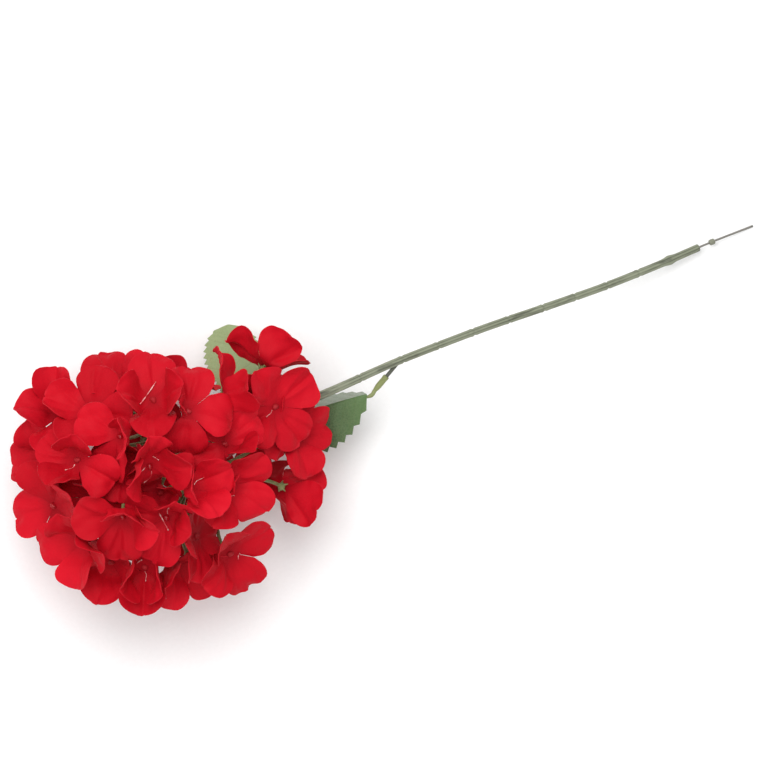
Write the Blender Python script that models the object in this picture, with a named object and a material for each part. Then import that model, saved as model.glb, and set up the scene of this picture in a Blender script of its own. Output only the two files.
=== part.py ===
"""Artificial hydrangea stem lying on its side.

Red die-cut fabric florets sit on the pegs of moulded sprigs, which are pushed over
the stubs of a sheathed wire stem. Two fabric leaves sit on moulded stalks.

Every length below is in millimetres and every angle in degrees. The meshes are made
in metres. +X runs from the flower head to the cut end of the wire, +Z is up, and the
flower lies on the surface z = 0.
"""
import math
import random

import bpy
import numpy as np
from mathutils import Vector
from mathutils.bvhtree import BVHTree

METRE = 0.001
SEED = 48

# Moves the finished shapes so that z = 0 below the middle of their box is the origin.
ORIGIN_SHIFT = (-0.2, -2.9, 0.0)

# Stem: a bare wire in a plastic sheath, straight in side view and nearly so from above.
STEM_ROUTE = (
    (239.6, 11.0), (213.0, 11.0), (171.0, 9.6), (139.0, 9.6), (107.0, 10.7), (76.0, 12.1),
    (44.0, 12.7), (12.0, 12.7), (-28.0, 10.9), (-64.0, 9.6), (-100.0, 8.0), (-138.0, 6.5),
)
WIRE_RADIUS = 0.64
WIRE_SIDES = 6
WIRE_TIP_X = 239.6
WIRE_END_X = -94.0
STEM_SLOPE = 10.9
SHEATH_MOUTH_X = 204.5
SHEATH_HEAD_X = -138.0
SHEATH_RADIUS = 2.3
SHEATH_NECK_RADIUS = 2.6
SHEATH_BORE_RADIUS = 0.95
SHEATH_NECK_X = -22.0
SHEATH_NECK_TAPER = 40.0
SHEATH_MOUTH_TAPER = 2.5
NECK_STATIONS_X = (-136.5, -118.0, -98.0, -80.0, -64.0, -50.0, -36.0)
BORE_STATIONS = 14
WIRE_STATIONS = 20
NODE_SCARS_X = (-14.0, 13.6, 36.5, 59.2, 81.6, 103.7, 124.0, 144.5, 165.0)
SCAR_DEPTH = 0.3
SCAR_HALF_LENGTH = 1.6
SWELLING_X = 185.0
SWELLING_RADIUS = 3.0
SWELLING_HALF_LENGTH = 5.0
BEAD_X = 213.0
BEAD_RADIUS = 1.9
BEAD_LENGTH = 3.4
ROUND_SIDES = 8

# Stubs of the sheath and the sockets of the sprigs and leaf stalks that go over them.
STUB_RADIUS = 1.15
STUB_REACH = 6.0
SOCKET_BORE = 1.5
SOCKET_DEPTH = 6.6
SOCKET_LENGTH = 8.6
# The outer wall of a socket, as distances from its mouth and radii: a sprig's socket
# ends in a ball where the arms fork, a leaf stalk's narrows to the stalk.
SPRIG_SOCKET = ((0.0, 2.35), (8.6, 2.16), (10.9, 2.35), (13.2, 1.4))
LEAF_SOCKET = ((0.0, 1.95), (7.0, 1.95), (9.8, 1.6), (12.4, 0.9))
FORK_DEPTH = 1.6
STUB_START = 1.2
SOCKET_SIDES = 6

# One floret: four rounded petals cut from one piece of stiffened fabric.
PETAL_LENGTH = 30.0
PETAL_HALF_WIDTH = 14.2
PETAL_WIDEST = 19.5
NOTCH_RADIUS = 6.6
NOTCH_HALF_WIDTH = 5.2
HOLE_RADIUS = 1.35
FABRIC = 0.6
PETAL_ROWS = (NOTCH_RADIUS, 14.5)
PETAL_FRACTIONS = (-1.0, -0.52, 0.0, 0.52, 1.0)
PETAL_RIM = ((-1.0, 21.0), (-0.62, 27.8), (0.0, PETAL_LENGTH), (0.62, 27.8), (1.0, 21.0))
PETALS = 4
FLARE = (8.0, 52.0)
TWIST = (4.0, 20.0)
FLORET_SCALE = (0.95, 1.03)

# How a petal is formed, as distances from the centre of the floret.
BEND_FROM = 2.0
BEND_OVER = 9.0
FLARE_FROM = 12.0
FLARE_OVER = 17.0
FOLD_FROM = 3.0
MIDLINE_STEPS = 59
QUARTER_SHARE = 1.08

# The search for a form of each petal that touches nothing.
CLEARANCES = (0.35, 0.7, 1.2, 1.8)
BEND_SHIFTS = (0, 6, -6, 12, -12, 18, -18, 25, -25, 33, -33, 42, -42, 52, -52, 64)
TWIST_SHIFTS = (0.0, -14.0, 12.0, -28.0, 26.0)
SHRINKS = (1.0, 0.88, 0.76, 0.64, 0.54)
BEND_RANGE = (-48.0, 96.0)
OWN_CALYX = 9.0
PROBE_ROOT = 0.35
MIDDLE_RADIUS = 6.8
MIDDLE_HALF_HEIGHT = 1.3

# The arm of a sprig under one floret, from its root to the bead that holds the floret.
# Heights are measured from the middle of the floret along its own axis.
ARM_RADIUS = 1.05
CALYX_FOOT = -5.6
CALYX_TOP = -2.5
PEG_FOOT = -0.6
PEG_TOP = 0.9
BEAD_WIDEST = 1.5
BEAD_TOP = 2.7
ARM_LEAVING = 0.3
ARM_ARRIVING = 0.38
CALYX_RADIUS = 2.6
PEG_RADIUS = 0.9
RETAINER_RADIUS = 1.8
ARM_SIDES = 4
STALK_SIDES = 6

# The head is a flattened ball of florets. Where it meets the surface it is pressed flat.
HEAD_CENTRE = (-152.0, 0.0, 72.0)
PRESS_SOFTNESS = 1.6
REST_HEIGHT = FABRIC / 2

FABRIC_RED = ("floret_fabric", (0.52, 0.012, 0.022), 0.62)
SHEATH_GREEN = ("stem_sheath_plastic", (0.16, 0.19, 0.13), 0.5)
SPRIG_GREEN = ("sprig_plastic", (0.32, 0.36, 0.13), 0.48)
WIRE_STEEL = ("wire_steel", (0.12, 0.11, 0.1), 0.4)
LEAF_DARK = ("dark_leaf_fabric", (0.035, 0.075, 0.03), 0.58)
LEAF_PALE = ("pale_leaf_fabric", (0.33, 0.42, 0.2), 0.66)

# Sprigs: stem position, direction of the stub, distance of the socket from the stem axis.
SPRIGS = {
    "crown": (-133.0, (-0.15, 0.05, 1.0), 3.6),
    "tip": (-138.0, (-1.0, 0.1, 0.16), 2.2),
    "left_back": (-128.0, (-0.35, 0.95, 0.25), 4.6),
    "left_front": (-128.0, (-0.35, -0.95, 0.2), 4.6),
    "right_front": (-113.0, (0.0, -0.75, 0.7), 3.8),
    "right_back": (-110.0, (0.1, 0.75, 0.7), 3.9),
    "under_front": (-118.0, (-0.1, -0.55, -1.0), 3.9),
    "under_back": (-124.0, (-0.2, 0.6, -1.0), 4.0),
    "trailing": (-41.0, (-0.8, 0.72, 0.25), 7.2),
}

# Florets: name, sprig, place of the hole, lean direction and lean from the vertical,
# direction of the first petal seen from above, the bend of each of the four petals, and
# how far each is folded along its midline: the rise of its edges.
FLORETS = (
    ("trailing_back", "right_back", (-65, 39, 79), (33, 116), 213, (66, 66, 40, 20), (1, 5, 2, 3)),
    ("back", "left_back", (-134, 44, 109), (71, 20), 71, (18, 68, 46, 72), (-2, 5, 4, 4)),
    ("front_right", "right_front", (-125, -58, 84), (296, 42), -79, (28, 14, 56, 44), (3, 2, 4, 6)),
    ("front_upper", "right_front", (-140, -41, 96), (339, 62), -111, (8, 30, 12, 35), (5, 2, 2, 2)),
    ("trailing_front", "right_front", (-81, -33, 64), (309, 142), 222, (84, 34, 70, 14), (2, 3, 3, 2)),
    ("trailing_top", "trailing", (-68, 14, 84), (345, 26), 20, (16, 42, 22, 2), (3, 4, 2, -3)),
    ("top", "crown", (-150, 8, 128), (290, 30), -97, (-46, 66, 52, 66), (-3, 4, 3, 5)),
    ("top_right", "crown", (-132, -12, 121), (350, 36), 184, (60, 66, 62, -2), (3, 3, 4, -2)),
    ("right_back", "right_back", (-117, 30, 116), (50, 26), 64, (20, 74, -32, 4), (2, 6, -3, 3)),
    ("right_front", "right_front", (-110, -20, 107), (327, 36), 31, (46, 72, 70, 34), (4, 3, 2, 2)),
    ("top_back", "left_back", (-160, 31, 114), (140, 26), -136, (-14, 66, 76, 40), (-2, 3, 4, 3)),
    ("back_left", "left_back", (-172, 52, 94), (111, 34), 54, (12, 34, 56, 10), (-3, 11, 4, 2)),
    ("left_upper", "tip", (-189, 27, 106), (143, 30), 127, (18, 66, -6, 76), (-2, 4, 3, 5)),
    ("top_left", "tip", (-176, -14, 114), (250, 28), -116, (10, 70, 78, 14), (2, 4, 4, 3)),
    ("top_front", "left_front", (-152, -24, 112), (265, 22), -126, (0, 66, 70, 40), (2, 4, 4, 3)),
    ("left", "tip", (-213, 7, 78), (180, 42), 176, (16, 8, 36, 22), (2, 3, 3, 2)),
    ("left_low", "tip", (-206, -19, 91), (200, 42), 164, (26, 56, 40, 58), (2, 4, 3, 3)),
    ("back_corner", "left_back", (-189, 57, 82), (122, 44), 72, (40, 66, 40, 0), (12, 4, 3, 1)),
    ("left_corner", "tip", (-205, 34, 68), (155, 48), 167, (30, 56, 40, 60), (6, 4, 3, 4)),
    ("back_low", "left_back", (-154, 58, 74), (86, 46), 92, (30, 52, 26, 50), (-2, 4, 3, 4)),
    ("front", "left_front", (-175, -47, 92), (245, 38), -115, (56, 70, 40, 62), (3, 4, 3, 5)),
    ("front_left", "left_front", (-193, -37, 76), (225, 46), -131, (84, 50, 40, 46), (3, 4, 3, 4)),
    ("front_low", "left_front", (-157, -53, 80), (265, 46), -138, (50, 54, 40, 58), (4, 2, 3, 5)),
    ("right", "right_back", (-104, 4, 103), (10, 34), 19, (20, 62, 20, 52), (2, 4, 3, 4)),
    ("right_low", "right_front", (-64, -5, 66), (340, 40), -11, (20, 36, 20, 36), (2, 3, 2, 3)),
    ("back_right", "right_back", (-93, 31, 97), (345, 70), 71, (10, 40, 30, 20), (2, 4, 3, 3)),
    ("deep_front", "crown", (-150, -9, 97), (260, 18), -70, (34, 40, 30, 44), (3, 3, 3, 3)),
    ("deep_back", "crown", (-163, 16, 95), (140, 16), 62, (30, 40, 34, 44), (3, 3, 3, 3)),
    ("deep_left", "tip", (-189, 4, 85), (180, 16), 30, (30, 36, 34, 40), (3, 3, 3, 3)),
)

# Leaves: a toothed blade of printed fabric on the rib of a moulded stalk. "taper" places
# the widest point and sets how full the outline is, "near_fold" and "far_fold" lift the
# two halves from the level, and "ridge" moves their common line aside and up from the rib.
LEAVES = {
    "dark_leaf": {
        "stem_x": 11.5, "stub": (-0.875, -0.48, -0.12), "socket_at": 12.4,
        "ribs": ((-14.5, -0.6, 42.0), (-42.0, 3.2, 41.0), (-70.0, 2.8, 36.0), (-94.5, 1.2, 30.0)),
        "half_width": 24.0, "taper": (0.8, 0.9), "near_fold": -12.0, "far_fold": -77.0,
        "ridge": (1.6, 0.4), "teeth": 13, "tooth": 2.7,
        "look": LEAF_DARK,
    },
    "pale_leaf": {
        "stem_x": -68.0, "stub": (-0.45, 0.6, -0.7), "socket_at": 5.4,
        "ribs": ((-83.0, 23.0, 45.0), (-83.0, 39.0, 38.0), (-80.5, 55.0, 30.0), (-77.0, 70.0, 25.0)),
        "half_width": 15.4, "taper": (1.45, 0.45), "near_fold": -12.0, "far_fold": -16.0,
        "ridge": (0.0, 0.0), "teeth": 14, "tooth": 1.5,
        "look": LEAF_PALE,
    },
}
RIB_RADIUS = 0.85
RIB_GAP = 0.3
LEAF_COLUMNS = (0.0, 0.5, 1.0)

# The florets under the head: two rings of them, as name, count, radius round the head's
# centre, height, lean from the vertical and direction of the first.
UNDER_RINGS = (
    ("low", 5, 52.0, 46.0, 108.0, 57.0),
    ("bottom", 4, 25.0, 18.0, 146.0, -6.0),
)
UNDER_BEND = (20.0, 55.0)
UNDER_FOLD = (-2.0, 6.0)
UNDER_HEIGHT_PLAY = 3.0
UNDER_TURN_PLAY = 35.0


def unit(vector):
    """Return the vector scaled to length one."""
    array = np.asarray(vector, float)
    return array / np.linalg.norm(array)


def stem_point(x):
    """Point on the stem axis: the route's Y by a smooth curve, and Z by the even slope."""
    xs = np.array([point[0] for point in STEM_ROUTE[::-1]])
    ys = np.array([point[1] for point in STEM_ROUTE[::-1]])
    slopes = np.gradient(ys, xs)
    i = int(np.clip(np.searchsorted(xs, x) - 1, 0, len(xs) - 2))
    span = xs[i + 1] - xs[i]
    t = (x - xs[i]) / span
    y = (
        ys[i] * (1 + 2 * t) * (1 - t) ** 2
        + slopes[i] * span * t * (1 - t) ** 2
        + ys[i + 1] * t * t * (3 - 2 * t)
        - slopes[i + 1] * span * t * t * (1 - t)
    )
    z = WIRE_RADIUS + 0.02 + (WIRE_TIP_X - x) * math.tan(math.radians(STEM_SLOPE))
    return np.array([x, y, z])


def rings_along(points, radii, sides, reference=(0.0, 0.0, 1.0)):
    """Rings of points round a route, turned as little as possible from one to the next."""
    points = np.asarray(points, float)
    tangents = np.gradient(points, axis=0)
    tangents /= np.linalg.norm(tangents, axis=1)[:, None]
    normal = np.asarray(reference, float)
    rings = []
    for point, tangent, radius in zip(points, tangents, radii):
        normal = normal - tangent * normal.dot(tangent)
        if np.linalg.norm(normal) < 0.05:
            normal = np.cross(tangent, (1.0, 0.0, 0.0))
        normal = unit(normal)
        side = np.cross(tangent, normal)
        angles = np.arange(sides) * (2 * math.pi / sides)
        rings.append(point + radius * (np.outer(np.cos(angles), normal) + np.outer(np.sin(angles), side)))
    return rings


def skin(rings):
    """Close a row of rings into one solid of triangles, with a point at each end."""
    sides = len(rings[0])
    vertices = [rings[0].mean(axis=0)]
    for ring in rings:
        vertices.extend(ring)
    vertices.append(rings[-1].mean(axis=0))
    last = len(vertices) - 1
    faces = []
    for j in range(sides):
        k = (j + 1) % sides
        faces.append((0, 1 + k, 1 + j))
        faces.append((last, 1 + (len(rings) - 1) * sides + j, 1 + (len(rings) - 1) * sides + k))
    for i in range(len(rings) - 1):
        for j in range(sides):
            k = (j + 1) % sides
            a = 1 + i * sides + j
            b = 1 + i * sides + k
            c = b + sides
            d = a + sides
            faces.append((a, b, c))
            faces.append((a, c, d))
    return np.array(vertices), faces


def turned(origin, direction, profile, sides=ROUND_SIDES):
    """Solid turned about an axis: the profile is a row of (distance along, radius)."""
    axis = unit(direction)
    helper = (0.0, 0.0, 1.0) if abs(axis[2]) < 0.9 else (1.0, 0.0, 0.0)
    across = unit(np.cross(axis, helper))
    up = np.cross(axis, across)
    angles = np.arange(sides) * (2 * math.pi / sides)
    circle = np.outer(np.cos(angles), across) + np.outer(np.sin(angles), up)
    rings = [np.asarray(origin) + axis * along + circle * radius for along, radius in profile]
    return skin(rings)


def material(name, colour, roughness, metallic=0.0):
    """Principled material with the given linear colour."""
    made = bpy.data.materials.new(name)
    made.use_nodes = True
    shader = made.node_tree.nodes["Principled BSDF"]
    shader.inputs["Base Color"].default_value = (*colour, 1.0)
    shader.inputs["Roughness"].default_value = roughness
    shader.inputs["Metallic"].default_value = metallic
    made.diffuse_color = (*colour, 1.0)
    return made


def add_solid(name, vertices, faces, look):
    """Make one object of the scene from a closed mesh given in millimetres."""
    mesh = bpy.data.meshes.new(name)
    placed = (np.asarray(vertices) + ORIGIN_SHIFT) * METRE
    mesh.from_pydata([tuple(point) for point in placed], [], faces)
    mesh.validate()
    mesh.polygons.foreach_set("use_smooth", [True] * len(mesh.polygons))
    mesh.materials.append(look)
    made = bpy.data.objects.new(name, mesh)
    bpy.context.scene.collection.objects.link(made)
    return made


def fuse(name, solids, look):
    """Join solids that run into each other into one body, with one Boolean union."""
    base = add_solid(name, *solids[0], look)
    others = bpy.data.collections.new(name + "_others")
    bpy.context.scene.collection.children.link(others)
    for number, (vertices, faces) in enumerate(solids[1:]):
        piece = add_solid(f"{name}_other_{number}", vertices, faces, look)
        bpy.context.scene.collection.objects.unlink(piece)
        others.objects.link(piece)
    union = base.modifiers.new("union", "BOOLEAN")
    union.operation = "UNION"
    union.operand_type = "COLLECTION"
    union.collection = others
    union.solver = "EXACT"
    bpy.context.view_layer.update()
    evaluated = base.evaluated_get(bpy.context.evaluated_depsgraph_get())
    joined = bpy.data.meshes.new_from_object(evaluated)
    base.modifiers.clear()
    base.data = joined
    for piece in list(others.objects):
        bpy.data.objects.remove(piece)
    bpy.data.collections.remove(others)
    joined.materials.clear()
    joined.materials.append(look)
    return base


def wire_solid():
    """The steel wire that runs inside the sheath and comes out bare at the cut end."""
    xs = np.linspace(WIRE_TIP_X, WIRE_END_X, WIRE_STATIONS)
    points = [stem_point(x) for x in xs]
    return skin(rings_along(points, [WIRE_RADIUS] * len(xs), WIRE_SIDES))


def sheath_radius(x):
    """Outer radius of the sheath: a thicker neck near the head, a waist at each node scar."""
    blend = np.clip((SHEATH_NECK_X - x) / SHEATH_NECK_TAPER + 0.5, 0.0, 1.0)
    radius = SHEATH_RADIUS + (SHEATH_NECK_RADIUS - SHEATH_RADIUS) * blend
    for scar in NODE_SCARS_X:
        if abs(x - scar) < 0.1:
            radius -= SCAR_DEPTH
    if abs(x - SWELLING_X) < 0.1:
        radius = SWELLING_RADIUS
    return radius


def sheath_solid():
    """The sheath, closed round its far end and open at the mouth where the wire leaves it."""
    stations = list(NECK_STATIONS_X)
    for scar in NODE_SCARS_X:
        stations += [scar - SCAR_HALF_LENGTH, scar, scar + SCAR_HALF_LENGTH]
    stations += [SWELLING_X - SWELLING_HALF_LENGTH, SWELLING_X, SWELLING_X + SWELLING_HALF_LENGTH]
    stations.append(SHEATH_MOUTH_X - SHEATH_MOUTH_TAPER)
    outer_x = [SHEATH_HEAD_X] + stations + [SHEATH_MOUTH_X]
    outer_r = [SHEATH_NECK_RADIUS * 0.55]
    outer_r += [sheath_radius(x) for x in stations]
    outer_r.append(SHEATH_RADIUS * 0.7)
    bore_x = list(np.linspace(SHEATH_MOUTH_X, WIRE_END_X - 1.0, BORE_STATIONS))
    outer = rings_along([stem_point(x) for x in outer_x], outer_r, ROUND_SIDES)
    bore = rings_along([stem_point(x) for x in bore_x], [SHEATH_BORE_RADIUS] * len(bore_x), ROUND_SIDES)
    bore = [np.roll(ring[::-1], 1, axis=0) for ring in bore]
    vertices, faces = skin(outer + bore)
    return vertices, faces


def stub(x, direction, socket_at):
    """A stub of the sheath: from inside its wall, clear of the wire, out to the socket."""
    axis = unit(direction)
    along = unit(stem_point(x + 1.0) - stem_point(x - 1.0))
    lean = abs(float(axis.dot(along)))
    across = math.sqrt(max(1.0 - lean * lean, 0.01))
    start = 0.0
    if x > WIRE_END_X - 4.0:
        start = (STUB_START + STUB_RADIUS * lean) / across
    profile = (
        (start, STUB_RADIUS),
        (socket_at - 0.6, STUB_RADIUS),
        (socket_at + STUB_REACH - 1.0, STUB_RADIUS),
        (socket_at + STUB_REACH, STUB_RADIUS * 0.6),
    )
    return turned(stem_point(x), axis, profile, SOCKET_SIDES)


def socket(origin, direction, socket_at, wall):
    """The blind socket at the foot of a sprig or stalk: its bore, then its outer wall."""
    profile = [
        (socket_at + SOCKET_DEPTH, SOCKET_BORE * 0.7),
        (socket_at + SOCKET_DEPTH - 0.4, SOCKET_BORE),
        (socket_at, SOCKET_BORE),
    ]
    profile += [(socket_at + along, radius) for along, radius in wall]
    return turned(origin, direction, profile, SOCKET_SIDES)


def fork_point(origin, direction, socket_at):
    """Where the arms of a sprig grow out of the ball at the end of its socket."""
    return np.asarray(origin) + unit(direction) * (socket_at + SOCKET_LENGTH + FORK_DEPTH)


def bezier(p0, p1, p2, p3, steps):
    """Points on a cubic curve."""
    t = np.linspace(0.0, 1.0, steps)[:, None]
    return (1 - t) ** 3 * p0 + 3 * t * (1 - t) ** 2 * p1 + 3 * t * t * (1 - t) * p2 + t**3 * p3


def arm_solid(fork, direction, centre, normal):
    """One arm: a bent rod, the calyx, the peg through the floret and the bead that holds it."""
    centre = np.asarray(centre, float)
    calyx_foot = centre + normal * CALYX_FOOT
    reach = np.linalg.norm(calyx_foot - fork)
    rod = bezier(
        fork,
        fork + unit(direction) * reach * ARM_LEAVING,
        calyx_foot - normal * reach * ARM_ARRIVING,
        calyx_foot,
        5,
    )
    rod_radii = [ARM_RADIUS * 1.15] * 2 + [ARM_RADIUS] * 3
    head = (
        (CALYX_TOP, CALYX_RADIUS),
        (PEG_FOOT, PEG_RADIUS),
        (PEG_TOP, PEG_RADIUS),
        (BEAD_WIDEST, RETAINER_RADIUS),
        (BEAD_TOP, RETAINER_RADIUS * 0.6),
    )
    points = list(rod) + [centre + normal * height for height, _ in head]
    radii = rod_radii + [radius for _, radius in head]
    return skin(rings_along(points, radii, ARM_SIDES))


def lean_frame(lean_towards, lean, first_petal):
    """Normal of a floret and the direction of its first petal, both after leaning.

    The normal leans from the vertical towards a compass direction. The petal direction
    is a level one that the same lean carries with it.
    """
    towards = math.radians(lean_towards)
    angle = math.radians(lean)
    level = np.array([math.cos(towards), math.sin(towards), 0.0])
    normal = level * math.sin(angle) + np.array([0.0, 0.0, 1.0]) * math.cos(angle)
    turn = math.radians(first_petal)
    flat = np.array([math.cos(turn), math.sin(turn), 0.0])
    side = np.cross((0.0, 0.0, 1.0), level)
    first = (
        side * flat.dot(side)
        + (level * math.cos(angle) - np.array([0.0, 0.0, 1.0]) * math.sin(angle)) * flat.dot(level)
    )
    return normal, first


def half_width(v):
    """Half width of the flat petal at distance v from the centre of the floret."""
    v = np.asarray(v, float)
    rise = np.clip((v - NOTCH_RADIUS) / (PETAL_WIDEST - NOTCH_RADIUS), 0.0, 1.0)
    fall = np.clip((v - PETAL_WIDEST) / (PETAL_LENGTH - PETAL_WIDEST), 0.0, 1.0)
    widening = NOTCH_HALF_WIDTH + (PETAL_HALF_WIDTH - NOTCH_HALF_WIDTH) * np.sin(rise * math.pi / 2) ** 0.9
    return np.where(v <= PETAL_WIDEST, widening, PETAL_HALF_WIDTH * np.sqrt(1 - fall**2))


def petal_point(u, v, form):
    """Point of a formed petal in the floret's own frame: along, across and up.

    The midline leaves the centre level, bends up by form["bend"] degrees and then eases
    back by form["flare"]. Across it, the edges rise by form["fold"] as the blade keeps its
    width along the arc, and it turns about the midline by form["twist"] at its tip.
    """
    steps = np.linspace(0.0, PETAL_LENGTH, MIDLINE_STEPS)
    bent = np.clip((steps - BEND_FROM) / BEND_OVER, 0.0, 1.0)
    eased = np.clip((steps - FLARE_FROM) / FLARE_OVER, 0.0, 1.0)
    slope = np.radians(
        form["bend"] * bent * bent * (3 - 2 * bent) - form["flare"] * eased * eased * (3 - 2 * eased)
    )
    step = steps[1] - steps[0]
    along = np.concatenate([[0.0], np.cumsum(np.cos((slope[1:] + slope[:-1]) / 2)) * step])
    height = np.concatenate([[0.0], np.cumsum(np.sin((slope[1:] + slope[:-1]) / 2)) * step])
    here = np.interp(v, steps, slope)
    part = np.clip((v - FOLD_FROM) / (PETAL_LENGTH - FOLD_FROM), 0.0, 1.0)
    rise = form["fold"] / PETAL_HALF_WIDTH
    drawn_in = 1.0 / np.sqrt(1.0 + 1.4 * (rise * part) ** 2)
    lift = rise * u * u / PETAL_HALF_WIDTH * part
    turn = np.radians(form["twist"]) * part
    across = u * drawn_in * np.cos(turn) - lift * np.sin(turn)
    up = u * drawn_in * np.sin(turn) + lift * np.cos(turn)
    scale = form["scale"]
    x = np.interp(v, steps, along) - np.sin(here) * up
    z = np.interp(v, steps, height) + np.cos(here) * up
    return np.stack([x * scale, across * scale, z * scale], axis=-1)


def press(points):
    """Where the head would go below the surface it is pressed level with it, softly."""
    pressed = np.array(points, float)
    height = (pressed[..., 2] - REST_HEIGHT) / PRESS_SOFTNESS
    pressed[..., 2] = REST_HEIGHT + PRESS_SOFTNESS * np.logaddexp(0.0, height)
    return pressed


def petal_grid(form, direction, side, normal, centre):
    """The three rows of one petal in the part's frame, five points across each."""
    fractions = np.array(PETAL_FRACTIONS)
    rows = []
    for v in PETAL_ROWS:
        u = fractions * float(half_width(v))
        row = petal_point(u, np.full(5, v), form)
        if v > NOTCH_RADIUS:
            reach = QUARTER_SHARE * row[2, 0]
            row[:, 1] = np.clip(row[:, 1], -reach, reach)
        rows.append(row)
    rim_u = np.array([share * float(half_width(v)) if share in (-1.0, 1.0)
                      else share * PETAL_HALF_WIDTH for share, v in PETAL_RIM])
    rim_v = np.array([v for _, v in PETAL_RIM])
    rows.append(petal_point(rim_u, rim_v, form))
    local = np.array(rows)
    world = (
        np.asarray(centre)
        + local[..., :1] * direction
        + local[..., 1:2] * side
        + local[..., 2:] * normal
    )
    return world


def thicken(vertices, faces, thickness, boundary):
    """Give a sheet of triangles its thickness, split alike on both faces."""
    normals = np.zeros_like(vertices)
    for a, b, c in faces:
        area = np.cross(vertices[b] - vertices[a], vertices[c] - vertices[a])
        for corner in (a, b, c):
            normals[corner] += area
    normals /= np.linalg.norm(normals, axis=1)[:, None]
    count = len(vertices)
    both = np.vstack([vertices + normals * thickness / 2, vertices - normals * thickness / 2])
    solid = list(faces)
    solid += [(c + count, b + count, a + count) for a, b, c in faces]
    for a, b in boundary:
        solid.append((a, a + count, b + count))
        solid.append((a, b + count, b))
    return both, solid


def open_edges(faces):
    """Directed edges of a sheet that belong to one triangle only."""
    directed = set()
    for a, b, c in faces:
        directed.update(((a, b), (b, c), (c, a)))
    return sorted(edge for edge in directed if (edge[1], edge[0]) not in directed)


def grid_faces(first_row, columns):
    """Triangles between two rows of numbered points."""
    faces = []
    for j in range(columns - 1):
        a = first_row[0][j]
        b = first_row[0][j + 1]
        c = first_row[1][j + 1]
        d = first_row[1][j]
        faces.append((a, d, c))
        faces.append((a, c, b))
    return faces


def floret_solid(floret, forms, thickness=FABRIC):
    """The four petals and the middle with its hole as one closed sheet."""
    centre = floret["centre"]
    normal = floret["normal"]
    vertices = []
    rows = []
    for k in range(PETALS):
        direction, side = petal_axes(floret, k)
        grid = petal_grid(forms[k], direction, side, normal, centre)
        numbers = []
        for row in grid:
            start = len(vertices)
            vertices.extend(row)
            numbers.append(list(range(start, start + 5)))
        rows.append(numbers)
    vertices = [np.array(point) for point in vertices]
    hole = len(vertices)
    count = PETALS * 2
    for j in range(count):
        angle = math.radians((j - 1) * 360.0 / count)
        flat = floret["first"] * math.cos(angle) + np.cross(normal, floret["first"]) * math.sin(angle)
        vertices.append(np.asarray(centre) + flat * HOLE_RADIUS)
    faces = []
    for k in range(PETALS):
        faces.append((hole + 2 * k, rows[k - 1][0][4], rows[k][0][0]))
        for half in range(2):
            a = hole + 2 * k + half
            b = hole + (2 * k + half + 1) % count
            root = rows[k][0][2 * half:2 * half + 3]
            faces += [(a, root[0], root[1]), (a, root[1], b), (b, root[1], root[2])]
        for low, high in zip(rows[k][:-1], rows[k][1:]):
            faces += grid_faces((low, high), 5)
    points = press(np.array(vertices))
    return thicken(points, faces, thickness, open_edges(faces))


def petal_axes(floret, k):
    """Directions along and across petal k in the floret's plane."""
    angle = math.radians(90.0 * k)
    across = np.cross(floret["normal"], floret["first"])
    direction = floret["first"] * math.cos(angle) + across * math.sin(angle)
    return direction, np.cross(floret["normal"], direction)


def petal_probe(floret, k, form, clearance):
    """A petal without its root, thicker than it is made, to look for what it would touch."""
    direction, side = petal_axes(floret, k)
    grid = petal_grid(form, direction, side, floret["normal"], floret["centre"])
    grid[0] = PROBE_ROOT * grid[0] + (1 - PROBE_ROOT) * floret["centre"]
    points = press(grid.reshape(-1, 3))
    numbers = [list(range(5 * i, 5 * i + 5)) for i in range(3)]
    faces = []
    for low, high in zip(numbers[:-1], numbers[1:]):
        faces += grid_faces((low, high), 5)
    return thicken(points, faces, FABRIC + 2 * clearance, open_edges(faces))


def tree_of(solids):
    """One search tree over several solids."""
    vertices = []
    faces = []
    for points, polygons in solids:
        offset = len(vertices)
        vertices.extend(Vector(point) for point in points)
        faces.extend([offset + i for i in face] for face in polygons)
    return BVHTree.FromPolygons(vertices, faces)


def without_near(solid, centre, distance):
    """The solid without the triangles that lie wholly near a point."""
    points, faces = solid
    near = np.linalg.norm(points - np.asarray(centre), axis=1) < distance
    return points, [face for face in faces if not all(near[i] for i in face)]


def touches(probe, tree):
    """True where a probe runs into a search tree."""
    points, faces = probe
    own = BVHTree.FromPolygons([Vector(point) for point in points], [list(face) for face in faces])
    return bool(own.overlap(tree))


def crosses_itself(solid):
    """True where two triangles of a solid that share no corner run into each other."""
    points, faces = solid
    own = BVHTree.FromPolygons([Vector(point) for point in points], [list(face) for face in faces])
    return any(not set(faces[i]) & set(faces[j]) for i, j in own.overlap(own))


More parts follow.
